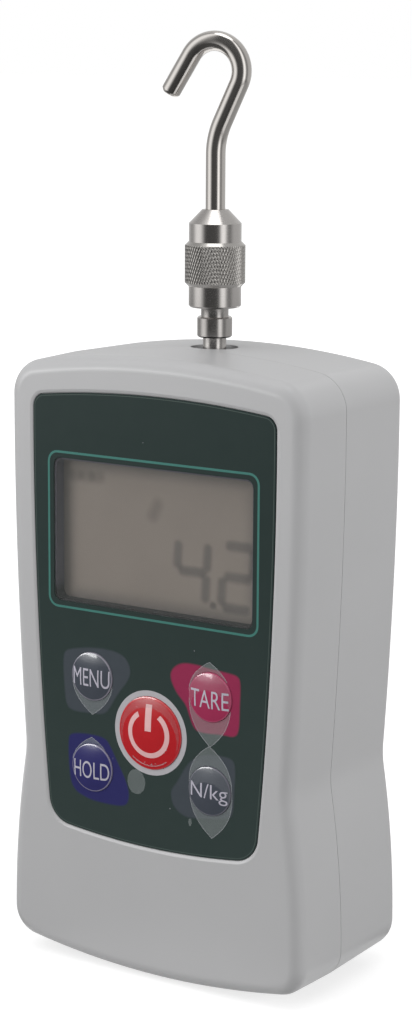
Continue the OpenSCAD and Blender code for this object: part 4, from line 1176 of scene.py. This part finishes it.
def cross_screw():
    """A pan head with a cross recess, its face at the origin and looking along +Y, and its shank."""
    pan = [(0, -2.4), (2.6, -2.4), (2.8, -2.2), (2.8, -0.7), (2.6, -0.25), (2.1, -0.02), (1.4, 0.0), (0, 0.0)]
    head = place_object("screw", spun(pan, 40, along_y(0, 0)))
    arms = [sew([[(p.x * s, y, p.y * s) for p in round_rect(0, 0, w, h, 0.15, 2)]
                 for y, s in ((0.2, 1.02), (-1.2, 0.7))]) for w, h in ((3.2, 0.75), (0.75, 3.2))]
    carve(head, *arms)
    whole = bmesh.new()
    whole.from_mesh(head.data)
    bpy.data.objects.remove(head)
    shank = spun([(0, -15.0), (1.5, -15.0), (1.5, -2.35), (0, -2.35)], 24, along_y(0, 0))
    return place_object("screw", joined(whole, shank))


def repeat_tree():
    """One copy of a piece at each point of the mesh, each turned a little further."""
    g, given, names = new_tree("repeat_piece", **{"Piece": "Object", "Turn Step": "Float"})
    pattern = g.node("GeometryNodeObjectInfo", {"Object": given["Piece"]}, "Geometry")
    spin = g.node("ShaderNodeCombineXYZ", {"Y": g.node("GeometryNodeInputIndex") * given["Turn Step"]})
    points = g.node("GeometryNodeMeshToPoints", {"Mesh": given["Geometry"]})
    copies = g.node("GeometryNodeInstanceOnPoints", {"Points": points, "Instance": pattern, "Rotation": spin})
    end_tree(g, copies, given["Finish"])
    return g.tree, names


REPEAT = repeat_tree()


def repeated(name, piece, spots, finish, slot, *stands_for, turn=0.0, sharp=SHARP):
    """Copies of a piece at several places, as one object on the case."""
    shape = bmesh.new()
    row(shape, spots)
    made = place_object(name, shape)
    apply_tree(made, REPEAT, {"Piece": piece, "Turn Step": turn, "Finish": finish.material})
    bpy.data.objects.remove(piece)
    dress(made, finish, "case", slot, *stands_for, sharp=sharp)


repeated("cross_screws", cross_screw(), [(x, BACK_Y - 0.6, z) for x, z in SCREWS_AT], oxide, "black_screw",
         "case_screws", turn=0.8)


# Threaded posts and sockets

def threaded_post():
    """A post with a threaded bore, its outer end at the origin. Its marks are distances from its axis."""
    depth, end = BACK_Y - POST_STEP_Y, BACK_Y - POST_END_Y
    profile = [(0, -end), (SPIGOT_R, -end), (SPIGOT_R, -depth), (POST_R, -depth), (POST_R, -0.25),
               (POST_R - 0.25, 0), (POST_THREAD_R + 0.2, 0), (POST_THREAD_R, -0.3)]
    for i in range(int((POST_BORE_DEPTH - 1.2) / POST_PITCH)):
        top = -0.35 - i * POST_PITCH
        profile += [(POST_BORE_R, top - POST_PITCH * 0.4), (POST_BORE_R, top - POST_PITCH * 0.55),
                    (POST_THREAD_R, top - POST_PITCH * 0.95)]
    profile += [(POST_BORE_R, -POST_BORE_DEPTH + 0.8), (0, -POST_BORE_DEPTH)]
    made = place_object("post", spun(profile, 64, along_y(0, 0)))
    mark_points(made, "ring", lambda p: math.hypot(p.x, p.z))
    return made


repeated("threaded_posts", threaded_post(), [(x, BACK_Y, z) for x, z in MOUNTS_AT], brass, "brass_post",
         "mount_posts", sharp=FINE_SHARP)


def make_sockets():
    """The charger socket with its pin and spring, and the data socket with its tongue and contacts."""
    block = bar_along_x(SOCKET_Y, JACK_Z, JACK_W, JACK_W, [
        (SOCKET_X, -0.25, 0.6), (SOCKET_X + 0.25, 0.0, 0.6), (SOCKET_END_X, 0.0, 0.6)])
    jack = carve(place_object("charger_socket", block),
                 bore(along_x(SOCKET_Y, JACK_Z), JACK_R, (SOCKET_X, SOCKET_END_X - 1.2), 0.3))
    dress(jack, black_plastic, "case", "black_plastic", "charge_jack")
    tip, root = SOCKET_X + 0.5, SOCKET_END_X - 1.0
    pin = [(0, tip), (JACK_PIN_R * 0.55, tip), (JACK_PIN_R * 0.9, tip + 0.25), (JACK_PIN_R, tip + 0.6),
           (JACK_PIN_R, root), (0, root)]
    add("charger_pin", spun(pin, 32, along_x(SOCKET_Y, JACK_Z)), zinc, "case", "zinc_screw")
    foot, half, thick = JACK_Z - JACK_R, 0.8, 0.25
    blade = [[(SOCKET_X + x, SOCKET_Y + side * half, foot + low + up)
              for side, up in ((-1, 0.0), (1, 0.0), (1, thick), (-1, thick))]
             for x, low in ((1.2, 0.0), (1.6, 0.05), (2.6, 0.65), (3.2, 0.65), (8.0, 0.0))]
    add("charger_spring", sew(blade), zinc, "case", "zinc_screw")

    def tube(grow, start, stop):
        return bar_along_x(SOCKET_Y, PORT_Z, PORT_W, PORT_H, [(x, grow, 1.1 + grow) for x in (start, stop)])
    shell = carve(place_object("data_shell", tube(0.0, SOCKET_X, SOCKET_END_X)),
                  tube(-PORT_WALL, SOCKET_X - 1, SOCKET_END_X - 1))
    dress(shell, bright_shell, "case", "zinc_screw", "data_port")
    tongue = bar_along_x(SOCKET_Y, PORT_Z, TONGUE_T, TONGUE_H, [
        (SOCKET_X + 1, -0.15, 0.2), (SOCKET_X + 1.3, 0.0, 0.2), (SOCKET_END_X - 0.5, 0.0, 0.2)])
    add("data_tongue", tongue, black_plastic, "case", "black_plastic")
    strip = place_object("strip", bar_along_x(0, 0, 0.06, 0.5, [(0.0, 0.0, 0.02), (5.0, 0.0, 0.02)], 2))
    spots = [(SOCKET_X + 1.7, SOCKET_Y + side * (TONGUE_T / 2 + 0.01), PORT_Z + 0.95 * i)
             for side in (-1, 1) for i in range(-2, 3)]
    repeated("data_contacts", strip, spots, gilt, "brass_post")


make_sockets()


# Finishes of the pieces that keep their solid's shape

KEPT = {
    clear_window: ["display_window"], display_glass: ["lcd_glass"], frame_dark: ["lcd_frame"],
    tray_dark: ["battery_tray"], elastomer: ["zebra_strips"], board_green: ["main_board", "io_board"],
    black_plastic: ["board_chips", "key_switches", "buzzer", "io_header"],
    zinc: ["board_screws", "bracket_screws", "shaft_lock_nut"], oxide: ["load_cell_bolt"],
    cell_wrap: ["battery_cells"], lead_red: ["battery_leads"], amber_foil: ["strain_gauges", "sensor_ribbon"],
    alloy: ["load_cell", "load_cell_bracket"],
    plunger_white: [key + "_plunger" for key in KEYS],
}
for finish, names_kept in KEPT.items():
    for name in names_kept:
        nodes[name].data.materials.clear()
        nodes[name].data.materials.append(finish.material)


# Studio

CAMERA_AT = Vector((0.2874, -0.4347, 0.1991))
CAMERA_TURN, CAMERA_TILT, CAMERA_ROLL, LENS = 33.47, 10.79, 0.305, 86.45
LAMP_AIM = 0.08
FLOOR_SIZE, FLOOR_Z, FLOOR_TONE = 12.0, -0.0002, 0.42
GLOW_NEAR, GLOW_FAR, NEAR, FAR = 0.72, 0.88, 0.2, 1.2


def direction(turn, tilt):
    """The way from the object to what looks at it from a turn and a tilt in degrees."""
    a, e = math.radians(turn), math.radians(tilt)
    return Vector((math.sin(a) * math.cos(e), -math.cos(a) * math.cos(e), math.sin(e)))


def make_camera():
    roll = math.radians(CAMERA_ROLL)
    back, right = direction(CAMERA_TURN, CAMERA_TILT), direction(CAMERA_TURN + 90, 0)
    up = back.cross(right)
    side = right * math.cos(roll) + up * math.sin(roll)
    top = up * math.cos(roll) - right * math.sin(roll)
    data = bpy.data.cameras.new("camera")
    data.lens, data.sensor_width, data.sensor_fit = LENS, 36.0, "AUTO"
    data.clip_start, data.clip_end = 0.01, 100.0
    made = new_object("camera", data)
    made.matrix_world = Matrix((side, top, back)).transposed().to_4x4()
    made.matrix_world.translation = CAMERA_AT
    scene.camera = made


def lamp(name, turn, tilt, distance, size, power, mirrored=True):
    """A soft lamp that looks at the case."""
    way = direction(turn, tilt)
    data = bpy.data.lights.new(name, "AREA")
    data.shape, data.energy = "RECTANGLE", power
    data.size, data.size_y = size
    made = new_object(name, data)
    made.location = Vector((0, 0, LAMP_AIM)) + way * distance
    made.rotation_euler = way.to_track_quat("Z", "Y").to_euler()
    made.visible_camera = False
    made.visible_glossy = mirrored
    return made


def flag_off(light, *pieces):
    """Keeps a lamp's light off some pieces."""
    shaded_from = bpy.data.collections.new(light.name + "_off")
    for piece in pieces:
        shaded_from.objects.link(piece)
    for item in shaded_from.collection_objects:
        item.light_linking.link_state = "EXCLUDE"
    light.light_linking.receiver_collection = shaded_from


def emptied(owner):
    """The graph of a material or a world, with no nodes yet."""
    owner.use_nodes = True
    owner.node_tree.nodes.clear()
    return Graph(owner.node_tree)


def stage_piece(name, shape):
    """A piece of the studio, and the graph of its material."""
    made = place_object(name, shape)
    material = bpy.data.materials.new(name)
    made.data.materials.append(material)
    return made, emptied(material)


def sees_studio(g):
    """1 for rays that show the studio itself, straight or in a shiny or clear surface."""
    straight, shiny, clear = (g.node("ShaderNodeLightPath", out="Is %s Ray" % kind)
                              for kind in ("Camera", "Glossy", "Transmission"))
    return straight.most(shiny).most(clear)


def make_floor():
    shape = bmesh.new()
    bmesh.ops.create_grid(shape, x_segments=8, y_segments=8, size=FLOOR_SIZE)
    floor, g = stage_piece("floor", shape)
    lit = g.node("ShaderNodeBsdfDiffuse", {"Color": (FLOOR_TONE, FLOOR_TONE, FLOOR_TONE, 1)})
    place = g.node("ShaderNodeTexCoord", out="Object")
    out = g.node("ShaderNodeVectorMath", {0: place}, "Value", operation="LENGTH")
    share = GLOW_NEAR + (GLOW_FAR - GLOW_NEAR) * g.ramp(out, NEAR, FAR)
    glow = g.node("ShaderNodeEmission", {"Strength": sees_studio(g) * share})
    g.node("ShaderNodeOutputMaterial", {"Surface": g.node("ShaderNodeAddShader", {0: lit, 1: glow})})
    floor.location.z = FLOOR_Z


CARD_R, CARD_FOOT, CARD_DIM, CARD_FULL, CARD_TOP = 0.2, 0.104, 0.122, 0.13, 0.8
SKIRT_R, SKIRT_TOP, BAND_TOP = 0.36, 0.062, 0.077
SCREEN = [(-113, 0.42), (-103, 0.65), (-92, 1.05), (-84, 1.15), (-73, 1.15), (-66, 1.05), (-60, 0.75),
          (-52, 0.36), (-44, 0.1), (-38, 0.075), (0, 0.085), (10, 0.1), (18, 0.22), (24, 0.8), (30, 1.35),
          (42, 1.4), (48, 0.85), (55, 0.4), (62, 0.26), (72, 0.28), (80, 0.47), (90, 0.56), (130, 0.58),
          (160, 0.68), (200, 0.68), (230, 0.42), (247, 0.42)]
LOW_SHARE = 0.72
SKIRT = [(-113, 0.3), (-100, 0.1), (12, 0.05), (24, 0.3), (34, 0.6), (48, 0.5), (62, 0.3), (150, 0.45),
         (247, 0.3)]
MAT_IN, MAT_OUT, MAT_Z = 0.045, 0.37, 0.0004
MAT = [(-125, 0.7), (-105, 0.1), (12, 0.04), (20, 0.12), (24, 0.9), (52, 0.9), (60, 0.35), (150, 0.4)]


def toned_strip(name, stations, *edges):
    """A strip round the object whose tone changes along it, and which only shiny surfaces show.

    Stations are a turn from the camera and a tone. Edges are a distance, a height and a share of the tone.
    """
    shape = bmesh.new()
    mark = shape.verts.layers.float.new("glow")
    rows = []
    for turn, tone in between(stations):
        a = math.radians(CAMERA_TURN + turn)
        rows.append([shape.verts.new((r * math.sin(a), -r * math.cos(a), z)) for r, z, _ in edges])
        for v, (_, _, share) in zip(rows[-1], edges):
            v[mark] = tone * share
    for low, high in zip(rows, rows[1:]):
        for i in range(len(edges) - 1):
            shape.faces.new((low[i], high[i], high[i + 1], low[i + 1]))
    strip, g = stage_piece(name, shape)
    glow = g.node("ShaderNodeEmission", {"Strength": g.marked("glow")})
    g.node("ShaderNodeOutputMaterial", {"Surface": glow})
    strip.visible_camera = strip.visible_diffuse = False
    strip.visible_shadow = strip.visible_transmission = False


def between(stations, steps=6):
    """The same stations with more between them."""
    return [(a0 + (a1 - a0) * i / steps, l0 + (l1 - l0) * i / steps)
            for (a0, l0), (a1, l1) in zip(stations, stations[1:]) for i in range(steps)] + stations[-1:]


def make_screen():
    """Bent cards and a mat round the object, for the tones in its shiny pieces."""
    toned_strip("bent_card", SCREEN, (CARD_R, CARD_FOOT, LOW_SHARE), (CARD_R, CARD_DIM, LOW_SHARE),
                (CARD_R, CARD_FULL, 1.0), (CARD_R, CARD_TOP, 1.0))
    toned_strip("low_card", SCREEN, (SKIRT_R, SKIRT_TOP, LOW_SHARE), (SKIRT_R, BAND_TOP, LOW_SHARE))
    toned_strip("card_skirt", SKIRT, (SKIRT_R, 0.0, 1.0), (SKIRT_R, SKIRT_TOP, 1.0))
    toned_strip("table_mat", MAT, (MAT_IN, MAT_Z, 1.0), (MAT_OUT, MAT_Z, 1.0))


def make_world():
    scene.world = bpy.data.worlds.new("studio")
    g = emptied(scene.world)
    sky = g.node("ShaderNodeBackground", {"Color": (1, 1, 1, 1), "Strength": 0.5 + sees_studio(g) * 0.5})
    g.node("ShaderNodeOutputWorld", {"Surface": sky})


make_camera()
make_floor()
make_screen()
make_world()
lamp("top_lamp", -12, 64, 0.8, (1.15, 1.15), 5.2)
left_lamp = lamp("left_lamp", -42, 9, 1.4, (0.7, 0.22), 7.2)
flag_off(left_lamp, wire_hook, knurled_grip, adapter_rings, turned_shaft)
lamp("right_lamp", 112, 10, 1.4, (0.8, 0.6), 9.1, False)
lamp("back_lamp", 200, 35, 1.5, (0.8, 0.8), 3.0)
scene.view_settings.view_transform = "Standard"
